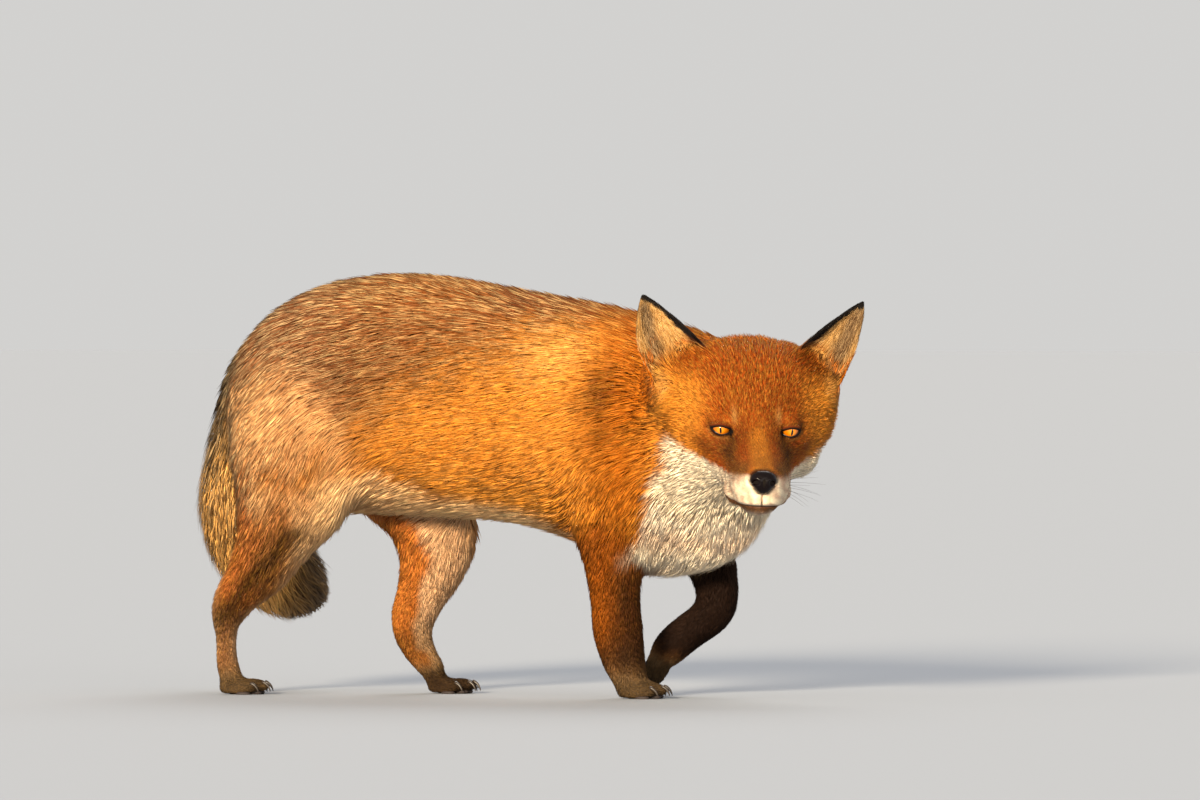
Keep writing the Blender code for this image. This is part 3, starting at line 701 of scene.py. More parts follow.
def earEdge(side):
    # the upper edge of an ear from its root to its tip, as (forward, left, up) in the head's frame
    spread = earSetup["spread"][side]
    t = np.linspace(-0.15, 1.0, 14)[:, None]
    root = np.array((-0.068, side * 0.037, 0.052))
    tip = np.array((-0.066, side * (0.099 + 0.5 * spread), 0.105))
    return root + (tip - root) * t + np.array((0, 0, 0.003)) * np.sin(math.pi * np.clip(t, 0, 1))


# the middle of the ear's hollow, (forward, outwards, up) in the head's frame
earHollow = np.array(((-0.062, 0.066, 0.026), (-0.068, 0.076, 0.048),
                      (-0.068, 0.086, 0.072), (-0.066, 0.093, 0.088)))

noseSetup = {
    "place": (0.0765, 0, -0.0225),  # in the head's frame
    "tilt": -14,
    "half": (0.0124, 0.0093, 0.0108),  # half its width, length and height
    "narrow": 0.62,  # share of its width left below
    "nostril": 0.0076,  # from the middle to each nostril
    "leather": srgb(9, 3, 3),
    "hole": srgb(8, 3, 3),
}
noseFrame = headFrame @ Matrix.Translation(along(*noseSetup["place"])) @ turned(0, noseSetup["tilt"])


def noseReach(points):
    # 1 at the bare nose's own outline, less within it
    forward, left, up = toFrame(noseFrame, points).T
    across, length, height = noseSetup["half"]
    waist = 1 - (1 - noseSetup["narrow"]) * smooth(0.3, -0.9, up / height)
    parts = np.abs(np.stack([left / (across * waist), forward / length, up / height], 1))
    return (parts ** 2.44).sum(1) ** (1 / 2.44)


def lineDistance(points, line):
    nearest = np.full(len(points), 1.0)
    for start, end in zip(line, line[1:]):
        edge = end - start
        t = np.clip(((points - start) @ edge) / (edge @ edge), 0, 1)
        nearest = np.minimum(nearest, np.linalg.norm(points - start - t[:, None] * edge, axis=1))
    return nearest


def trunkMarks(forward, up, down, ragged):
    # above this line the coat is grizzled, most of all over the rump
    greyEdge = np.interp(forward, (-0.17, -0.09, -0.01, 0.087, 0.15, 0.22),
                         (0.190, 0.240, 0.285, 0.322, 0.338, 0.350))
    grizzled = smooth(-0.055, 0.045, up - greyEdge + ragged * 1.5)
    hind = grizzled * smooth(0.02, -0.14, forward + ragged)
    paint = np.tile(colours["orange"], (len(forward), 1))
    paint = painted(paint, "back", grizzled * 0.85)
    paint = painted(paint, "rump", hind * 0.85)
    creamTop = np.interp(forward, (-0.12, -0.048, -0.020, -0.001, 0.0215, 0.05, 0.12),
                         (0.195, 0.212, 0.200, 0.184, 0.167, 0.156, 0.147))
    belly = smooth(0.007, -0.005, up - creamTop + ragged * 0.5)
    # a chestnut band, darkened with sable, just above the cream of the belly: partly the coat's own colour,
    # partly painted shade along the underside
    below = smooth(0.026, 0.008, up - creamTop + ragged * 0.5)
    below = below * smooth(-0.03, 0.01, forward) * smooth(0.14, 0.11, forward)
    paint = painted(paint, "chestnut", below)
    paint = painted(paint, "sable", below * 0.35)
    paint = painted(paint, "cream", np.maximum(belly, smooth(0.66, 0.88, down) * (up < 0.22)))
    paint = painted(paint, "amber", smooth(0.14, 0.19, forward) * smooth(0.14, 0.20, up + ragged) * 0.8)
    # painted highlight: a pale buff patch on the shoulder
    shoulderHighlight = np.exp(-(((forward - 0.135 + ragged) / 0.030) ** 2 + ((up - 0.312) / 0.022) ** 2))
    paint = painted(paint, "buff", shoulderHighlight * 0.45)
    ridge = smooth(0.330, 0.352, up + ragged * 0.8 + (forward - 0.10) * 0.12)
    ridge = smooth(0.030, 0.100, forward) * ridge
    paint = painted(paint, "back", ridge * 0.8)
    return paint, grizzled, hind


def neckMarks(paint, neck, forward, left, up, ragged):
    # painted shade in the fold between the neck's ruff and the shoulder, on the right side only
    furrowShade = np.exp(-(((forward - 0.178 + ragged) / 0.016) ** 2 + ((up - 0.272) / 0.045) ** 2))
    paint = painted(paint, "amber", neck * 0.30)
    paint = painted(paint, "rust", neck * smooth(0.27, 0.33, up + ragged) * 0.6)
    paint = painted(paint, "chestnut", furrowShade * (left < 0) * 0.95)
    return painted(paint, "sable", furrowShade ** 1.5 * (left < 0) * 0.45)


def tailMarks(paint, tail, points, backward, left, up, ragged):
    # buff, dark along its back and over its end
    paint = painted(paint, "buff", tail)
    paint = painted(paint, "dusk", tail * smooth(0.2, 0.8, wobble(points, 0.03, 8) + 0.3) * 0.18)
    rootFade = smooth(0.330, 0.285, up + ragged)
    paint = painted(paint, "sable", tail * smooth(0.35, 0.80, backward) * rootFade * 0.70)
    paint = painted(paint, "dusk", tail * smooth(0.235, 0.285, up + ragged) * 0.6)
    return painted(paint, "black", tail * smooth(0.030, 0.065, left + ragged - (0.12 - up) * 0.5) * 0.93)


def hindLegMarks(paint, share, forward, left, up, ragged, fineRagged):
    nearHind, farHind = share["leg_hind_right"], share["leg_hind_left"]
    outer = smooth(0.040, 0.056, np.abs(left) + ragged * 0.3)
    for hindLeg in (nearHind, farHind):
        paint = painted(paint, "grizzle", hindLeg * smooth(0.19, 0.24, up + ragged) * 0.9)
        paint = painted(paint, "chestnut", hindLeg * outer * smooth(0.225, 0.165, up + ragged) * 0.85)
    rear = smooth(-0.150, -0.195, forward + ragged)
    paint = painted(paint, "red", nearHind * rear * smooth(0.24, 0.18, up) * 0.45)
    front = smooth(-0.118, -0.094, forward + ragged * 0.5 + (0.20 - up) * 0.42)
    paint = painted(paint, "cream", nearHind * front * smooth(0.225, 0.195, up + ragged))
    # a dark band runs up from the hock over the outer side
    beside = (up - 0.085 - (forward + 0.200) * 0.98) + ragged * 0.4
    band = np.exp(-(beside / 0.015) ** 2) * smooth(0.175, 0.150, up) * smooth(0.030, 0.045, -left)
    paint = painted(paint, "sable", nearHind * band * 0.88)
    paint = painted(paint, "sable", nearHind * smooth(0.105, 0.070, up + ragged) * 0.65)
    for hindLeg, way in ((nearHind, -1), (farHind, 1)):  # pale and mottled on their inner sides
        inside = smooth(0.012, -0.010, (left - way * 0.048) * way)
        paint = painted(paint, "greyCream", hindLeg * inside * smooth(0.24, 0.17, up) * 0.85)
        paint = painted(paint, "dusk", hindLeg * inside * smooth(0.3, 0.9, fineRagged) * 0.45)
    shank = np.interp(up, (0.015, 0.046, 0.066, 0.087, 0.13, 0.16, 0.20, 0.24),
                      (-0.034, -0.057, -0.060, -0.053, -0.042, -0.045, -0.068, -0.100))
    paint = painted(paint, "amber", farHind * smooth(0.009, 0.000, forward - shank + ragged * 0.3) * 0.9
                    * smooth(0.25, 0.21, up))
    return painted(paint, "sable", farHind * smooth(0.085, 0.045, up + ragged) * 0.55)


def foreLegMarks(paint, share, forward, up, ragged):
    nearFore, farFore = share["leg_fore_right"], share["leg_fore_left"]
    for foreLeg in (nearFore, farFore):
        paint = painted(paint, "chestnut", foreLeg * smooth(0.200, 0.150, up + ragged))
    paint = painted(paint, "sable", nearFore * smooth(0.150, 0.100, up + ragged)
                    * smooth(0.166, 0.186, forward + ragged * 0.4) * 0.85)
    paint = painted(paint, "sable", nearFore * smooth(0.075, 0.035, up) * 0.8)
    return painted(paint, "black", farFore * smooth(0.190, 0.145, up + ragged) * 0.96)


def blob(across, high, middle, size):
    # 1 at the middle, fading with distance, seen from the front of the head
    return np.exp(-(((across - middle[0]) / size[0]) ** 2 + ((high - middle[1]) / size[1]) ** 2))


def faceMarks(points, head, bib, fineRagged):
    ahead, across, high = head.T
    across = np.abs(across)
    look = np.tile(colours["face"], (len(points), 1))
    temple = smooth(0.032, 0.056, across + fineRagged * 0.002) * smooth(0.045, 0.020, high)
    look = painted(look, "orange", temple * 0.75)
    look = painted(look, "orange", smooth(0.014, 0.004, across) * smooth(0.004, 0.024, ahead) * 0.60)
    look = painted(look, "dusk", smooth(0.040, 0.072, ahead) * smooth(-0.026, -0.012, high) * 0.35)
    brow = blob(across, high, (0.015, 0.004), (0.008, 0.014))
    look = painted(look, "rust", brow * smooth(-0.02, 0.0, ahead) * smooth(0.04, 0.02, ahead) * 0.8)
    look = painted(look, "rust", smooth(-0.045, -0.075, ahead) * smooth(0.02, 0.05, high) * 0.5)
    look = painted(look, "amber", smooth(-0.060, -0.090, ahead) * 0.7)
    # cheeks and lips
    line = np.interp(ahead, (-0.10, -0.07, -0.045, -0.020, 0.004, 0.025, 0.045, 0.062, 0.078),
                     (-0.050, -0.034, -0.021, -0.026, -0.030, -0.029, -0.026, -0.021, -0.018))
    white = smooth(0.003, -0.003, high - line + fineRagged * 0.002)
    look = painted(look, "white", white * bib)
    look = painted(look, "lipFur", white * smooth(0.020, 0.040, ahead) * smooth(-0.7, 0.9, fineRagged) * 0.75)
    # streak from the inner corner of the eye down the side of the muzzle
    middle = np.interp(ahead, (0.000, 0.020, 0.045, 0.070), (-0.006, -0.014, -0.020, -0.016))
    streak = np.exp(-((high - middle - fineRagged * 0.001) / 0.0068) ** 2)
    streak = streak * smooth(-0.002, 0.012, ahead) * smooth(0.076, 0.066, ahead)
    look = painted(look, "dusk", streak * smooth(0.008, 0.014, across) * 0.85)
    look = painted(look, "sable", streak ** 2 * smooth(0.010, 0.016, across) * 0.45)
    corner = blob(across - ahead * 0.10, high, (0.0205, -0.0085), (0.0050, 0.0085))
    look = painted(look, "sable", corner * smooth(-0.004, 0.004, ahead) * smooth(0.040, 0.026, ahead) * 0.92)
    # a dark red patch under each eye, and a pale spot over it
    under = blob(across, high, (0.037, -0.0135), (0.014, 0.0072)) * (ahead > -0.03)
    look = painted(look, "rust", np.minimum(1.0, under * 1.3))
    under = blob(across, high, (0.026, -0.0135), (0.006, 0.0045)) * (ahead > -0.03)
    look = painted(look, "sable", under * 0.75)
    over = blob(across, high, (0.0195, 0.0115), (0.0024, 0.0046)) * (ahead > -0.02)
    look = painted(look, "goldTip", over * 0.32)
    step = high - lipUp(ahead)
    mouth = smooth(0.018, 0.026, ahead) * (across < 0.040)
    lips = smooth(0.0014, -0.0004, step) * smooth(-0.0085, -0.0040, step) * mouth
    look = painted(look, "lip", lips * smooth(-1.6, -0.2, fineRagged) * 0.85)
    look = painted(look, "lip", smooth(0.0012, 0.0, step) * smooth(-0.0048, -0.0030, step) * mouth * 0.9)
    look = painted(look, "sable", np.exp(-(step / 0.0010) ** 2) * mouth * 0.8)
    parting = smooth(0.0013, 0.0004, across) * smooth(0.058, 0.066, ahead) * smooth(-0.024, -0.028, high)
    look = painted(look, "sable", parting * smooth(-0.001, 0.001, step) * 0.85)
    look = painted(look, "black", smooth(1.12, 1.00, noseReach(points)))
    for side in (1, -1):  # the pale tuft goes on from the ear's outer root over the temple
        root = head - np.array((-0.052, side * (0.080 + earSetup["spread"][side]), 0.026))
        look = painted(look, "inner", smooth(0.024, 0.010, np.linalg.norm(root, axis=1)) * 0.8)
    return look


def lidMarks(look, points):
    for side in (1, -1):
        near, local = nearEye(points, side, 0.020)
        _, outwards, up = local.T
        distance = lidDistance(outwards, up)
        duct = np.hypot(outwards + 0.0105, (up + 0.0040) * 0.7)
        pale = smooth(0.0022, 0.0030, distance) * smooth(0.0052, 0.0040, distance) * (up < -0.002)
        # a dark red ring round each eye: partly the fur's own colour, partly painted shade from the brow
        patch = painted(look[near], "rust", smooth(0.0085, 0.0030, distance) * 0.75)
        patch = painted(patch, "inner", pale * 0.35)
        patch = painted(patch, "sable", smooth(0.0034, 0.0016, distance) * 0.8)
        dark = np.maximum(smooth(0.0022, 0.0008, distance), smooth(0.0034, 0.0016, duct))
        look[near] = painted(patch, "black", dark)
    return look


def earMarks(paint, share, head, normals, fineRagged):
    # cream within, black behind, along the upper edge and at the tip
    high = head[:, 2]
    for name, way in (("ear_left", 1), ("ear_right", -1)):
        front = np.array(headTurn @ along(0.94, way * -0.05, 0.30))
        within = smooth(-0.05, 0.35, normals @ front)
        edge = earEdge(way)
        rim = lineDistance(head, edge) + fineRagged * 0.0006
        broad = rim - 0.0045 * smooth(0.085, 0.055, high)
        within = within * smooth(earSetup["rim"] - 0.0010, earSetup["rim"] + 0.0008, broad)
        within = within * smooth(0.006, 0.010, np.linalg.norm(head - edge[-1], axis=1))
        ear = painted(np.tile(colours["black"], (len(head), 1)), "inner", within)
        # the ear's own dark middle; on the far ear it reaches wider, as painted shade
        hollow = lineDistance(head * (1, way, 1), earHollow + (0, 0.7 * earSetup["spread"][way], 0))
        hollow = smooth(earSetup["hollow"][way], 0.0035, hollow + fineRagged * 0.0012)
        ear = painted(ear, "greyInner", within * 0.88 * hollow)
        corner = smooth(0.060, 0.046, np.abs(head[:, 1])) * smooth(0.066, 0.040, high)
        ear = painted(ear, "orange", within * corner * 0.6)
        ear = painted(ear, "amber", smooth(0.030, 0.018, high + fineRagged * 0.004) * 0.9)
        low = smooth(0.062, 0.046, high + fineRagged * 0.003)
        ear = painted(ear, "amber", (1 - within) * low * (rim > 0.008))
        paint = paint * (1 - share[name][:, None]) + ear * share[name][:, None]
    return paint


def markings(points, normals, shares):
    # the colour at each point, painted shade and highlight included, how many hairs are tipped there and with
    # what
    forward, left, up = toBody(points).T
    head = toFrame(headFrame, points)
    share = dict(zip(partNames, shares.T))
    neck, tail = share["neck"], share["tail"]
    ragged = wobble(points, 0.028, 3) * 0.010
    fineRagged = wobble(points, 0.009, 4)
    paint, grizzled, hind = trunkMarks(forward, up, -normals[:, 2], ragged)
    paint = neckMarks(paint, neck, forward, left, up, ragged)
    paint = tailMarks(paint, tail, points, normals[:, 1] + fineRagged * 0.12, left, up, ragged)
    paint = hindLegMarks(paint, share, forward, left, up, ragged, fineRagged)
    paint = foreLegMarks(paint, share, forward, up, ragged)
    # the white of the bib reaches back to this line on both sides of the neck
    bibEdge = np.interp(up, (0.110, 0.150, 0.157, 0.168, 0.186, 0.200, 0.218, 0.236, 0.260),
                        (0.180, 0.186, 0.194, 0.211, 0.217, 0.229, 0.247, 0.247, 0.255))
    bib = smooth(-0.006, 0.008, forward - 0.346 * (left + 0.075) - bibEdge + ragged * 0.6)
    chest = share["leg_fore_right"] * smooth(0.124, 0.136, up + ragged * 0.5)
    chest = np.clip(neck + share["trunk"] + chest, 0, 1)
    paint = painted(paint, "white", chest * bib * smooth(0.262, 0.236, up + ragged))
    paws = sum(share[name] for name in partNames if name.startswith("paw"))
    paint = painted(paint, "black", paws * 0.93)
    paint = painted(paint, "sable", share["paw_hind_left"] * 0.7)

    face = np.clip(share["head"] + share["jaw"], 0, 1)
    look = lidMarks(faceMarks(points, head, bib, fineRagged), points)
    paint = paint * (1 - face[:, None]) + look * face[:, None]
    paint = earMarks(paint, share, head, normals, fineRagged)

    tick = 0.42 + 0.38 * grizzled + 0.30 * hind
    forehead = smooth(0.0, 0.02, head[:, 2]) * smooth(0.03, 0.0, head[:, 0])
    tick = tick * (1 - face) + face * (0.48 + 0.50 * forehead)
    tick = tick * (1 - 0.7 * np.clip(paws + share["leg_fore_right"] + share["leg_fore_left"], 0, 1))
    ears = np.clip(share["ear_left"] + share["ear_right"], 0, 1)
    tick = tick * (1 - ears) + ears * 0.60 * smooth(0.02, 0.06, paint.mean(1))
    tick = tick * smooth(0.004, 0.045, paint.mean(1))
    greyed = np.clip(np.maximum(hind, grizzled * 0.5) + tail * 0.4 + ears, 0, 1) * (1 - face)
    golden = np.clip(face + neck + smooth(0.14, 0.18, forward) + smooth(0.20, 0.15, up), 0, 1)
    tips = painted(np.tile(colours["goldTip"], (len(points), 1)), "amberTip", golden)
    return paint, tick, painted(tips, "hairTip", greyed)


coatSetup = {
    "seed": 11,
    "cover": 3.5,  # how many locks lie over one another
    "fine": 0.50,  # share of the table's width
    "short": 0.82,  # share of the table's length
    "longHair": 0.0098,  # a coat deeper than this has locks that bend
    "guards": 0.06,  # share of long hairs that pass the others
    "guardLength": 1.35,
    "guardRise": 1.16,
    "clump": 9,  # how many locks draw together at their ends
    "tipped": 0.38,  # share of locks with a pale tip
    "pieceLimit": 190000,  # triangles
    # painted shade: each lock darkens towards its root, deep in the coat, and is a little lighter at its tip;
    # the skin under the coat is darker still
    "tipShade": 1.06,
    "rootShade": 0.66,
    "skinShade": 0.75,
    "patch": 0.0030,  # of a lock's place on the unwrap
}


def alongSkin(ways, normals):  # the part of each direction that lies in the surface
    return ways - normals * (ways * normals).sum(1, keepdims=True)


def skinFields():
    points, edges = meshArrays(skinMesh)
    normals = vertexNormals(skinMesh)
    shares, part = partShares(points, edges)
    lie, length, depth, width = coatAt(points)
    lie = averaged(alongSkin(lie, normals), edges, 4)
    lie /= np.linalg.norm(lie, axis=1, keepdims=True) + 1e-9
    # shorter hair beside the lips and the lids
    head = toFrame(headFrame, points)
    step = head[:, 2] - lipUp(head[:, 0])
    short = np.exp(-(step / 0.0055) ** 2) * smooth(0.014, 0.024, head[:, 0]) * (np.abs(head[:, 1]) < 0.042)
    for side in (1, -1):
        near, local = nearEye(points, side, 0.024, -0.006)
        beside = np.exp(-(lidDistance(local[:, 1], local[:, 2]) / 0.0045) ** 2)
        short[near] = np.maximum(short[near], beside)
    length = length * (1 - 0.60 * short)
    depth = depth * (1 - 0.50 * short)
    width = width * (1 - 0.35 * short)
    paint, tick, tips = markings(points, normals, shares)
    return {"points": points, "normals": normals, "lie": lie, "length": length, "depth": depth,
            "width": width, "paint": paint, "tick": tick, "tips": tips, "part": part}


fields = skinFields()
print("markings worked out")


def markedFinish(name, roughness, specular):
    finish = Finish(name, roughness, specular)
    # the colour painted on each corner: the markings, with painted shade and highlight worked in
    finish.feed("Base Color", finish.node("ShaderNodeAttribute", {"attribute_name": "marking"}, {}))
    return finish


def raised(finish, height, strength, distance):
    settings = {"Strength": strength, "Distance": distance, "Height": height}
    finish.feed("Normal", finish.node("ShaderNodeBump", {}, settings))


def makeSkinFinish():
    finish = markedFinish("skinAndUnderfur", 0.90, 0.08)
    spot = finish.node("ShaderNodeTexCoord", {}, {}, 3)
    grain = finish.node("ShaderNodeTexNoise", {}, {"Vector": spot, "Scale": 900.0, "Detail": 2.0})
    raised(finish, grain, 0.35, 0.0006)
    return finish


skinFinish = makeSkinFinish()
coatFinish = markedFinish("foxHair", 0.65, 0.12)


def paintAttribute(mesh, colour):
    attribute = mesh.color_attributes.new("marking", "FLOAT_COLOR", "POINT")
    flat = np.ones((len(colour), 4), np.float32)
    flat[:, :3] = np.clip(colour, 0, 1)
    attribute.data.foreach_set("color", flat.ravel())


def inLidsOrNose(points):
    # the bare places: between the lids, the nose, the lips' parting
    head = toFrame(headFrame, points)
    bare = np.zeros(len(points), bool)
    for side in (1, -1):
        near, local = nearEye(points, side, 0.018, -0.004)
        bare[near] |= lidDistance(local[:, 1], local[:, 2]) < 0.0021
    bare |= noseReach(points) < 0.99
    step = head[:, 2] - lipUp(head[:, 0])
    bare |= (head[:, 0] > 0.021) & (step < 0.0012) & (step > -0.0008) & (np.abs(head[:, 1]) < 0.040)
    return bare


def skinFaces():
    faces = np.empty(len(skinMesh.polygons) * 3, np.int64)
    skinMesh.polygons.foreach_get("vertices", faces)
    return faces.reshape(-1, 3)


def scattered(rng):
    # roots spread over the skin, more where the locks are small
    faces = skinFaces()
    corners = fields["points"][faces]
    area = np.linalg.norm(np.cross(corners[:, 1] - corners[:, 0], corners[:, 2] - corners[:, 0]), axis=1) / 2
    length = fields["length"][faces].mean(1) * coatSetup["short"]
    width = fields["width"][faces].mean(1) * coatSetup["fine"]
    wanted = np.cumsum(area * coatSetup["cover"] / (length * width * 0.55))
    count = int(wanted[-1])
    chosen = np.searchsorted(wanted, (np.arange(count) + rng.random(count)) * (wanted[-1] / count))
    chosen = np.minimum(chosen, len(faces) - 1)
    a, b = rng.random(count), rng.random(count)
    flip = a + b > 1
    a[flip], b[flip] = 1 - a[flip], 1 - b[flip]
    weights = np.stack([1 - a - b, a, b], 1)
    corner = faces[chosen]
    result = {}  # each root's own share of what its face's corners hold
    for key in ("points", "normals", "lie", "paint", "tips"):
        result[key] = (fields[key][corner] * weights[..., None]).sum(1)
    for key in ("length", "depth", "width", "tick"):
        result[key] = (fields[key][corner] * weights).sum(1)
    result["part"] = fields["part"][corner[:, 0]]
    keep = ~inLidsOrNose(result["points"]) & (result["points"][:, 2] > 0.003)
    return {key: value[keep] for key, value in result.items()}


def unit(vectors):
    return vectors / (np.linalg.norm(vectors, axis=1, keepdims=True) + 1e-12)


def onSkin(tree, points):
    spots = np.empty_like(points)
    normals = np.empty_like(points)
    for number, point in enumerate(points):
        spot, normal, _, _ = tree.find_nearest(Vector(point))
        spots[number] = spot
        normals[number] = normal
    return spots, normals


def growTufts():
    rng = np.random.default_rng(coatSetup["seed"])
    tufts = scattered(rng)
    count = len(tufts["points"])
    tree = BVHTree.FromPolygons([Vector(p) for p in fields["points"]],
                                [tuple(p.vertices) for p in skinMesh.polygons])
    root, normal = tufts["points"], unit(tufts["normals"])
    length = tufts["length"] * coatSetup["short"] * rng.uniform(0.75, 1.25, count)
    depth = tufts["depth"]
    width = tufts["width"] * coatSetup["fine"] * rng.uniform(0.7, 1.3, count)

    lie = unit(alongSkin(tufts["lie"], normal))
    across = np.cross(normal, lie)
    turn = wobble(root, 0.030, 21) * 0.10 + wobble(root, 0.010, 22) * 0.08 + rng.normal(0, 0.12, count)
    lie = lie * np.cos(turn)[:, None] + across * np.sin(turn)[:, None]

    # where the lock bends and where it ends, both kept at their height over the skin
    level = rng.random(count)
    height = depth * (0.48 + 0.54 * level)
    guard = rng.random(count) < coatSetup["guards"]
    length = length * np.where(guard, coatSetup["guardLength"], 1.0)
    height = np.where(guard, depth * coatSetup["guardRise"], height)
    width = width * np.where(guard, 0.75, 1.0)
    bend, bendNormal = onSkin(tree, root + lie * (length * 0.45)[:, None])
    bend += bendNormal * (height * 0.62 + 0.0002)[:, None]
    onward = unit(bend - root)
    onward = unit(alongSkin(onward, bendNormal))
    tip, tipNormal = onSkin(tree, bend + onward * (length * 0.55)[:, None])
    tip += tipNormal * (height + 0.0002)[:, None]

    # locks draw together at their ends
    leaders = rng.random(count) < 1 / coatSetup["clump"]
    tree = KDTree(int(leaders.sum()))
    for number in np.where(leaders)[0]:
        tree.insert(root[number], int(number))
    tree.balance()
    leader = np.array([tree.find(Vector(p))[1] for p in root])
    pull = np.interp(depth, (0.001, 0.009, 0.012), (0.10, 0.24, 0.50))
    same = np.linalg.norm(root[leader] - root, axis=1) < length * 0.5
    same &= tufts["part"][leader] == tufts["part"]
    target = tip[leader] + (root - root[leader]) * 0.35
    tip += (target - tip) * (pull * same)[:, None]
    low, high = (np.array(corner) for corner in cadBox)  # no hair leaves the fox's own box
    tip = np.clip(tip, low + 0.0006, high - 0.0004)
    bend = np.clip(bend, low + 0.0010, high - 0.0006)

    side = unit(np.cross(tip - root, bendNormal))
    half = side * (width / 2)[:, None]
    low = root - normal * 0.0006
    rise = bendNormal * (width * 0.22)[:, None]
    # each lock's tone varies at random, with painted shade on the locks that lie lower in the coat
    tufts["shade"] = rng.normal(1.0, 0.13, count).clip(0.62, 1.35) * (0.82 + 0.18 * level)
    tipped = rng.random(count) < coatSetup["tipped"]
    light = np.where(tipped, rng.uniform(0.6, 1.2, count), rng.uniform(0.0, 0.3, count))
    tufts["pale"] = np.clip(tufts["tick"] * light, 0, 0.9)
    tufts["shade"] *= np.where(rng.random(count) < 0.30 * tufts["tick"], 0.60, 1.0)
    tufts["long"] = depth > coatSetup["longHair"]
    tufts["bent"] = np.stack([low, bend - half, bend + half, bend + rise, tip], 1)
    # a short lock starts within the coat, its back a little arched
    base = low + normal * (depth * 0.40 * level)[:, None]
    arch = bendNormal * (height * 0.12 + width * 0.22)[:, None]
    tufts["straight"] = np.stack([base - half, base + half, base + (tip - base) * 0.35 + arch, tip], 1)
    return tufts


# each kind of lock: its faces, where its corners lie on its patch, and how far up the hair they are
tuftKinds = {
    "bent": (np.array(((0, 3, 1), (0, 2, 3), (1, 3, 4), (3, 2, 4), (0, 1, 2), (1, 4, 2))),
             np.array(((0.0, -0.5), (-0.4, 0.0), (0.4, 0.0), (0.0, 0.1), (0.0, 0.5))),
             np.array((0.0, 0.5, 0.5, 0.5, 1.0))),
    "straight": (np.array(((0, 1, 2), (0, 2, 3), (2, 1, 3), (0, 3, 1))),
                 np.array(((-0.4, -0.5), (0.4, -0.5), (0.0, -0.1), (0.0, 0.5))),
                 np.array((0.15, 0.15, 0.45, 1.0))),
}


def unwrapOf(chosen):
    # an unwrap of the part of the skin under one coat piece, at a coarse size
    faces = skinFaces()
    faces = faces[chosen[faces].any(1)]
    used, flat = np.unique(faces, return_inverse=True)
    mesh = bpy.data.meshes.new("coarse")
    mesh.from_pydata(fields["points"][used].tolist(), [], flat.reshape(-1, 3).tolist())
    coarse = linked("coarse", mesh)
    lighten = coarse.modifiers.new("lighten", "DECIMATE")
    lighten.ratio = min(1.0, 2500 / len(faces))
    coarse.data = evaluated(coarse)
    coarse.modifiers.clear()
    bpy.context.view_layer.objects.active = coarse
    coarse.select_set(True)
    bpy.ops.object.mode_set(mode="EDIT")
    bpy.ops.mesh.select_all(action="SELECT")
    bpy.ops.uv.smart_project(angle_limit=math.radians(66), island_margin=0.004)
    bpy.ops.object.mode_set(mode="OBJECT")
    mesh = coarse.data
    layer = mesh.uv_layers.active.data
    corners = [v.co.copy() for v in mesh.vertices]
    triangles = [tuple(p.vertices) for p in mesh.polygons]
    uvs = [[layer[i].uv.to_3d() for i in p.loop_indices] for p in mesh.polygons]
    bpy.data.objects.remove(coarse)
    return BVHTree.FromPolygons(corners, triangles), corners, triangles, uvs


coatPieces = {
    "coatHead": (("head", "jaw"), "coat"),
    "coatEars": (("ear_left", "ear_right"), "pale_coat"),
    "coatNeck": (("neck",), "coat"),
    "coatTrunk": (("trunk",), "coat"),
    "coatTail": (("tail",), "coat"),
    "coatHindLegs": (("leg_hind_right", "leg_hind_left"), "coat"),
    "coatForeLegs": (("leg_fore_right", "leg_fore_left"), "coat"),
    "coatPaws": (tuple(name for name in partNames if name.startswith("paw")), "dark_coat"),
}


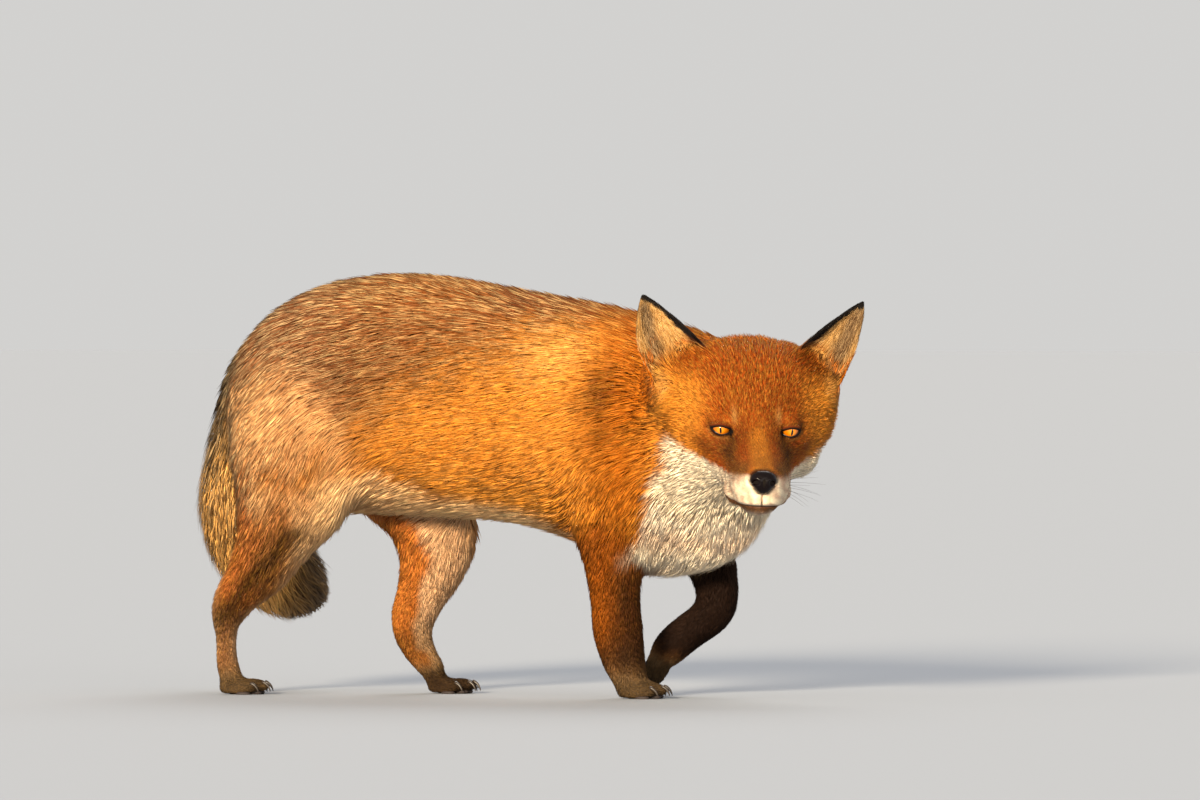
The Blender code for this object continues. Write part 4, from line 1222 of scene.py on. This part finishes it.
def coatPiece(name, tufts, chosen, unwrap):
    tree, corners, triangles, uvs = unwrap
    spots = np.zeros((len(tufts["long"]), 2))
    for number in chosen:
        spot, _, face, _ = tree.find_nearest(Vector(tufts["points"][number]))
        a, b, c = (corners[i] for i in triangles[face])
        spots[number] = barycentric_transform(spot, a, b, c, *uvs[face]).to_2d()
    vertices, faces, colour, patches = [], [], [], []
    start = 0
    for kind, isLong in (("bent", True), ("straight", False)):
        rows = chosen[tufts["long"][chosen] == isLong]
        shape, spread, hair = tuftKinds[kind]
        corner = len(hair)
        vertices.append(tufts[kind][rows].reshape(-1, 3))
        faces.append((shape[None] + (np.arange(len(rows)) * corner)[:, None, None]).reshape(-1, 3) + start)
        start += len(rows) * corner
        tint = tufts["paint"][rows][:, None, :]
        pale = (tufts["pale"][rows][:, None] * smooth(0.3, 1.0, hair)[None])[..., None]
        tint = tint * (1 - pale) + np.maximum(tufts["tips"][rows][:, None, :], tint) * pale
        # painted shade down each lock towards its root, less of it in white fur, and a little lighter at the
        # tip
        steps = np.interp(hair, (0.0, 0.5, 1.0), (coatSetup["rootShade"], 0.95, coatSetup["tipShade"]))
        shade = tufts["shade"][rows][:, None] * steps[None]
        whiteness = smooth(0.25, 0.60, tufts["paint"][rows].min(1))[:, None]
        shade = shade + (1.02 - shade) * whiteness * (0.75 if isLong else 0.25)
        colour.append((tint * shade[..., None]).reshape(-1, 3))
        patches.append((spots[rows][:, None, :] + spread[None] * coatSetup["patch"]).reshape(-1, 2))
    vertices, faces, colour, patches = (np.concatenate(part) for part in (vertices, faces, colour, patches))
    mesh = bpy.data.meshes.new(name)
    mesh.vertices.add(len(vertices))
    mesh.vertices.foreach_set("co", vertices.astype(np.float32).ravel())
    mesh.loops.add(faces.size)
    mesh.loops.foreach_set("vertex_index", faces.astype(np.int32).ravel())
    mesh.polygons.add(len(faces))
    mesh.polygons.foreach_set("loop_start", np.arange(0, faces.size, 3, dtype=np.int32))
    mesh.update(calc_edges=True)
    mesh.polygons.foreach_set("use_smooth", np.ones(len(faces), bool))
    paintAttribute(mesh, colour)
    layer = mesh.uv_layers.new(name="OFBake")
    layer.data.foreach_set("uv", patches[faces.ravel()].astype(np.float32).ravel())
    mesh.materials.append(coatFinish.data)
    coat = linked(name, mesh)
    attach(coat, "root")
    return len(faces)


def makeCoat():
    tufts = growTufts()
    size = np.where(tufts["long"], 6, 4)
    total = 0
    for name, (parts, slot) in coatPieces.items():
        numbers = [partNames.index(part) for part in parts]
        rows = np.where(np.isin(tufts["part"], numbers))[0]
        rows = rows[np.argsort(toBody(tufts["points"][rows])[:, 0], kind="stable")]
        running = np.cumsum(size[rows])
        chunks = math.ceil(running[-1] / coatSetup["pieceLimit"])
        cuts = np.searchsorted(running, np.linspace(0, running[-1], chunks + 1)[1:-1])
        unwrap = unwrapOf(np.isin(fields["part"], numbers))
        for number, chosen in enumerate(np.split(rows, cuts)):
            pieceName = f"{name}{number + 1}" if chunks > 1 else name
            total += coatPiece(pieceName, tufts, chosen, unwrap)
    print("coat:", len(tufts["long"]), "locks,", total, "triangles")


def makeSkinPiece():
    skinMesh.validate()  # drops any face laid twice over the same corners
    # painted shade: the skin is coloured darker than the hair over it, as the shade under the coat
    paintAttribute(skinMesh, fields["paint"] * coatSetup["skinShade"])
    for polygon in skinMesh.polygons:
        polygon.use_smooth = True
    skinMesh.materials.clear()
    skinMesh.materials.append(skinFinish.data)
    skin = linked("skin", skinMesh)
    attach(skin, "root")
    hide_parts(*partNames)


makeCoat()
makeSkinPiece()


eyeSetup = {
    "iris": srgb(206, 112, 6),
    "irisInner": srgb(232, 150, 30),
    "limbus": srgb(70, 30, 6),
    "white": srgb(70, 46, 34),
    "pupil": (0.004, 0.003, 0.003),
    "slit": (0.12, 0.36),  # half its width and height, of the eyeball's radius
    "bulge": 0.0010,  # how far the clear front stands out
}


def colour(values):
    return (*[float(v) for v in values], 1.0)


def makeEyeFinish():
    finish = Finish("wetEye", 0.25, 0.2)
    spot = finish.node("ShaderNodeUVMap", {"uv_map": "gaze"}, {})
    parts = finish.node("ShaderNodeSeparateXYZ", {}, {"Vector": spot})
    across = (parts - 0.5) * 2.0
    high = (parts.output(1) - 0.5) * 2.0
    reach = (across * across + high * high) ** 0.5
    spokes = finish.node("ShaderNodeCombineXYZ", {}, {0: across / (reach + 0.02) * 9.0,
                                                      1: high / (reach + 0.02) * 9.0, 2: reach * 3.0})
    fibres = finish.node("ShaderNodeTexNoise", {}, {"Vector": spokes, "Scale": 1.6, "Detail": 3.0})
    ring = finish.node("ShaderNodeValToRGB", {"stops": (
        (0.10, colour(eyeSetup["irisInner"])), (0.45, colour(eyeSetup["iris"])),
        (0.70, colour(eyeSetup["iris"] * 0.75)), (0.80, colour(eyeSetup["limbus"])),
        (0.88, colour(eyeSetup["white"])))}, {0: reach + (fibres - 0.5) * 0.06})
    iris = finish.mix(fibres * 0.3, ring, colour(eyeSetup["limbus"]), "MULTIPLY")
    wide, tall = eyeSetup["slit"]
    slit = ((across / wide) ** 2 + (high / tall) ** 2) ** 0.5
    pupil = finish.node("ShaderNodeMath", {"operation": "SMOOTH_MIN"}, {0: slit, 1: 1.0, 2: 0.0})
    edge = finish.node("ShaderNodeMapRange", {"interpolation_type": "SMOOTHSTEP"},
                       {0: pupil, 1: 0.80, 2: 1.0, 3: 0.0, 4: 1.0})
    finish.feed("Base Color", finish.mix(edge, colour(eyeSetup["pupil"]), iris))
    finish.shader.inputs["Coat Weight"].default_value = 0.6
    finish.shader.inputs["Coat Roughness"].default_value = 0.03
    return finish


def makeEyes():
    finish = makeEyeFinish()
    for side, name in ((1, "eye_left"), (-1, "eye_right")):
        bm = bmesh.new()
        bmesh.ops.create_uvsphere(bm, u_segments=64, v_segments=40, radius=eyeRadius * 0.995)
        bmesh.ops.rotate(bm, verts=bm.verts, cent=(0, 0, 0), matrix=Matrix.Rotation(math.pi / 2, 3, "X"))
        for vert in bm.verts:
            if vert.co.y < 0:
                reach = math.hypot(vert.co.x, vert.co.z) / eyeRadius
                vert.co.y -= eyeSetup["bulge"] * max(0.0, 1 - (reach / 0.75) ** 2)
        layer = bm.loops.layers.uv.new("gaze")
        for face in bm.faces:
            for loop in face.loops:
                spot = loop.vert.co / eyeRadius / 2
                loop[layer].uv = (spot.x + 0.5, spot.z + 0.5)
        bmesh.ops.transform(bm, matrix=eyeFrame(side), verts=bm.verts)
        eye = newObject("eyeball" + ("Left" if side > 0 else "Right"), bm, finish.data)
        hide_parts(name)


def tube(bm, points, radii, sides=10, closed=False):
    # a round bar along points, made by bridging circles
    rings = []
    count = len(points)
    for number, (point, radius) in enumerate(zip(points, radii)):
        before = points[number - 1] if closed or number else point
        after = points[(number + 1) % count] if closed or number < count - 1 else point
        way = (after - before).normalized()
        turn = way.to_track_quat("Z", "Y").to_matrix().to_4x4()
        matrix = Matrix.Translation(point) @ turn
        ring = bmesh.ops.create_circle(bm, segments=sides, radius=radius, matrix=matrix)["verts"]
        rings.append(ring)
    pairs = list(zip(rings, rings[1:])) + ([(rings[-1], rings[0])] if closed else [])
    for ring, following in pairs:
        edges = {e for v in ring for e in v.link_edges if e.other_vert(v) in ring}
        edges |= {e for v in following for e in v.link_edges if e.other_vert(v) in following}
        bmesh.ops.bridge_loops(bm, edges=list(edges))
    if not closed:
        for ring in (rings[0], rings[-1]):
            bmesh.ops.contextual_create(bm, geom=list(ring))


def plainFinish(name, tint, roughness, specular):
    finish = Finish(name, roughness, specular)
    finish.shader.inputs["Base Color"].default_value = colour(tint)
    return finish


def makeLidRims():
    finish = plainFinish("lidRim", colours["black"] * 0.8, 0.32, 0.5)
    bm = bmesh.new()
    for side in (1, -1):
        points = []
        for outwards, up in lidOutline(56):
            deep = math.sqrt(max((eyeRadius + 0.0004) ** 2 - outwards ** 2 - up ** 2, 1e-8))
            points.append(eyeFrame(side) @ along(deep, side * outwards, up))
        tube(bm, points, [lidSetup["tube"] / 1000] * len(points), 8, True)
    bmesh.ops.recalc_face_normals(bm, faces=bm.faces)
    newObject("lidRims", bm, finish.data)


makeEyes()
makeLidRims()
print("eyes in place")


def makeNose():
    finish = plainFinish("noseLeather", noseSetup["leather"], 0.24, 0.17)
    dark = plainFinish("nostril", noseSetup["hole"], 0.9, 0.0)
    spot = finish.node("ShaderNodeTexCoord", {}, {}, 3)
    cells = finish.node("ShaderNodeTexVoronoi", {"feature": "DISTANCE_TO_EDGE"},
                        {"Vector": spot, "Scale": 1100.0})
    height = finish.node("ShaderNodeMath", {"operation": "MINIMUM"}, {0: cells, 1: 0.25})
    raised(finish, height, 0.16, 0.0004)
    bm = bmesh.new()
    bmesh.ops.create_uvsphere(bm, u_segments=72, v_segments=48, radius=1.0)
    half = Vector(noseSetup["half"])
    deep = set()  # the corners inside the nostrils
    for vert in bm.verts:
        x, y, z = (math.copysign(abs(c) ** 0.82, c) for c in vert.co)
        x *= 1 - (1 - noseSetup["narrow"]) * float(smooth(0.3, -0.9, z))
        front = max(0.0, -y)
        # comma-shaped nostrils that open to the sides, and the groove between them
        spot = (abs(x) * half.x, z * half.z)
        hole = math.hypot((spot[0] - noseSetup["nostril"]) / 0.0026, (spot[1] - 0.0004) / 0.0021)
        slot = math.hypot((spot[0] - 0.0095) / 0.0034, (spot[1] + 0.0012) / 0.0010)
        inward = 0.36 * math.exp(-hole ** 4) + 0.20 * math.exp(-slot ** 2)
        inward += 0.06 * math.exp(-(x * half.x / 0.0005) ** 2) * float(smooth(0.5, 0.0, z))
        bulge = 0.06 * math.exp(-((hole - 1.7) / 0.5) ** 2)
        y += (inward - bulge) * min(1.0, front * 2)
        if inward > 0.12 and front > 0.2:
            deep.add(vert)
        vert.co = (x * half.x, y * half.y, z * half.z)
    for face in bm.faces:
        face.material_index = int(all(vert in deep for vert in face.verts))
    bmesh.ops.transform(bm, matrix=noseFrame, verts=bm.verts)
    nose = newObject("noseLeatherPad", bm, finish.data)
    nose.data.materials.append(dark.data)
    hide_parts("nose")


whiskerSetup = {
    "colour": srgb(52, 40, 34),
    "rows": 4,  # on each side of the muzzle
    "inRow": 3,
    "length": (0.030, 0.046),
    "radii": (0.00013, 0.00012, 0.00010, 0.00008, 0.00004),  # from root to tip
}


def makeWhiskers():
    finish = plainFinish("whisker", whiskerSetup["colour"], 0.5, 0.4)
    rng = np.random.default_rng(5)
    low, high = (Vector(corner) for corner in cadBox)
    bm = bmesh.new()
    for side in (1, -1):
        for row in range(whiskerSetup["rows"]):
            for number in range(whiskerSetup["inRow"]):
                forward = 0.062 - 0.0075 * number - 0.002 * (row % 2)
                up = -0.026 - 0.0040 * row
                left = 0.0235 + 0.0012 * number - 0.0012 * abs(row - 1)
                start = along(forward, side * left, up)
                rise = 0.22 - 0.26 * row + rng.uniform(-0.08, 0.08)
                way = along(-0.35 - 0.10 * number, side * 1.0, rise).normalized()
                length = rng.uniform(*whiskerSetup["length"]) * (0.8 + 0.12 * number)
                sag = along(-0.25, 0, -0.12 - 0.08 * row)
                points = [headFrame @ (start + way * length * t + sag * length * 0.5 * t * t)
                          for t in (0.0, 0.2, 0.45, 0.7, 1.0)]
                points = [Vector(np.clip(p, low, high)) for p in points]
                tube(bm, points, whiskerSetup["radii"], 4)
    bmesh.ops.recalc_face_normals(bm, faces=bm.faces)
    newObject("whiskers", bm, finish.data)


feet = {  # where the toes spring from, the turn outwards, the turn down and the middle toes' reach
    "foreRight": ((0.188, -0.044, 0.0070), -6.0, 0.0, 0.020),
    "foreLeft": ((0.183, 0.042, 0.0290), 4.0, 118.0, 0.014),
    "hindRight": ((-0.202, -0.046, 0.0070), -6.0, 0.0, 0.020),
    "hindLeft": ((-0.030, 0.044, 0.0070), 6.0, 0.0, 0.020),
}
toeSetup = {
    "pitch": 0.0102,
    "clawLength": 0.0122,
    "clawRadius": 0.0018,
    "claw": srgb(48, 38, 30),
    "pad": srgb(44, 34, 32),
}


def footFrame(foot):
    spot, turn, down, _ = feet[foot]
    return Matrix.Translation(place(*spot)) @ turned(-turn, down)


def toePlaces(foot):
    for number in range(4):
        out = abs(number - 1.5) - 0.5
        yield feet[foot][3] - 0.0085 * out, (number - 1.5) * toeSetup["pitch"], -0.0010 * out


def makeClaws():
    finish = plainFinish("claw", toeSetup["claw"], 0.38, 0.5)
    bm = bmesh.new()
    for foot in feet:
        frameOfFoot = footFrame(foot)
        for reach, left, up in toePlaces(foot):
            points, radii = [], []
            for t in (0.0, 0.2, 0.4, 0.6, 0.8, 0.95):
                bend = math.radians(12 + 38 * t)
                length = toeSetup["clawLength"] * t
                points.append(frameOfFoot @ along(reach + 0.0080 + length * math.cos(bend), left,
                                                  up + 0.0044 - length * math.sin(bend)))
                radii.append(toeSetup["clawRadius"] * (1 - t) ** 0.6)
            tube(bm, points, radii, 8)
    bmesh.ops.recalc_face_normals(bm, faces=bm.faces)
    newObject("claws", bm, finish.data)


def makePads():
    finish = plainFinish("pad", toeSetup["pad"], 0.7, 0.4)
    bm = bmesh.new()
    for foot in feet:
        frameOfFoot = footFrame(foot)
        pads = [((reach + 0.0010, left, up - 0.0052), (0.0042, 0.0068, 0.0026))
                for reach, left, up in toePlaces(foot)]
        pads.append(((0.0020, 0.0, -0.0048), (0.0095, 0.0080, 0.0028)))
        for spot, radii in pads:
            matrix = frameOfFoot @ Matrix.Translation(along(*spot)) @ Matrix.Diagonal((*radii, 1.0))
            bmesh.ops.create_uvsphere(bm, u_segments=20, v_segments=12, radius=1.0, matrix=matrix)
    for vert in bm.verts:
        vert.co.z = max(vert.co.z, 0.0)
    newObject("pads", bm, finish.data)


makeNose()
makeWhiskers()
makeClaws()
makePads()
print("nose, whiskers and claws in place")


stageSetup = {
    "floor": srgb(158, 163, 172),
    "backdrop": srgb(232, 231, 229),
    "worldStrength": 0.80,
    "suns": {  # azimuth, elevation, spread, strength and tint
        "key": (-90.0, 15.0, 12.0, 8.3, (1.0, 0.84, 0.60)),
        "fill": (-40.0, 4.0, 40.0, 1.0, (1.0, 0.93, 0.82)),
        "back": (100.0, 40.0, 40.0, 1.8, (1.0, 0.95, 0.88)),
    },
    "azimuth": -70.0,
    "elevation": 0.5,
    "distance": 12.0,
    "frameWidth": 1.104,  # metres across the view at the fox
    "centre": (0.1316, 0.2714),  # across and up from the fox's own origin to the view's middle
}


def wayTo(azimuth, elevation):  # from the fox towards a light or the camera
    turn, rise = math.radians(azimuth), math.radians(elevation)
    return Vector((math.sin(turn) * math.cos(rise), -math.cos(turn) * math.cos(rise), math.sin(rise)))


def facing(way):
    return (-way).to_track_quat("-Z", "Y").to_euler()


def softSun(name, azimuth, elevation, spread, strength, tint):
    data = bpy.data.lights.new(name, "SUN")
    data.angle = math.radians(spread)
    data.energy = strength
    data.color = tint
    linked(name, data).rotation_euler = facing(wayTo(azimuth, elevation))


def makeFloor():
    bm = bmesh.new()
    bmesh.ops.create_grid(bm, x_segments=1, y_segments=1, size=60.0)
    mesh = bpy.data.meshes.new("floor")
    bm.to_mesh(mesh)
    bm.free()
    mesh.materials.append(plainFinish("paleFloor", stageSetup["floor"], 0.9, 0.1).data)
    floor = linked("floor", mesh)


def makeLight():
    world = bpy.data.worlds.new("paleRoom")
    bpy.context.scene.world = world
    world.use_nodes = True
    background = world.node_tree.nodes["Background"]
    background.inputs["Color"].default_value = colour(stageSetup["backdrop"])
    background.inputs["Strength"].default_value = stageSetup["worldStrength"]

    for name, values in stageSetup["suns"].items():
        softSun(name, *values)


def makeCamera():
    way = wayTo(stageSetup["azimuth"], stageSetup["elevation"])
    turn = math.radians(stageSetup["azimuth"])
    right = Vector((math.cos(turn), math.sin(turn), 0.0))
    across, up = stageSetup["centre"]
    target = bodyOrigin + right * across + Vector((0, 0, up))
    data = bpy.data.cameras.new("camera")
    data.sensor_width = 36.0
    data.lens = 36.0 * stageSetup["distance"] / stageSetup["frameWidth"]
    data.clip_end = 200.0
    camera = linked("camera", data)
    camera.location = target + way * stageSetup["distance"]
    camera.rotation_euler = facing(way)
    bpy.context.scene.camera = camera
    bpy.context.scene.view_settings.view_transform = "Standard"


makeFloor()
makeLight()
makeCamera()
print("floor, light and camera in place")
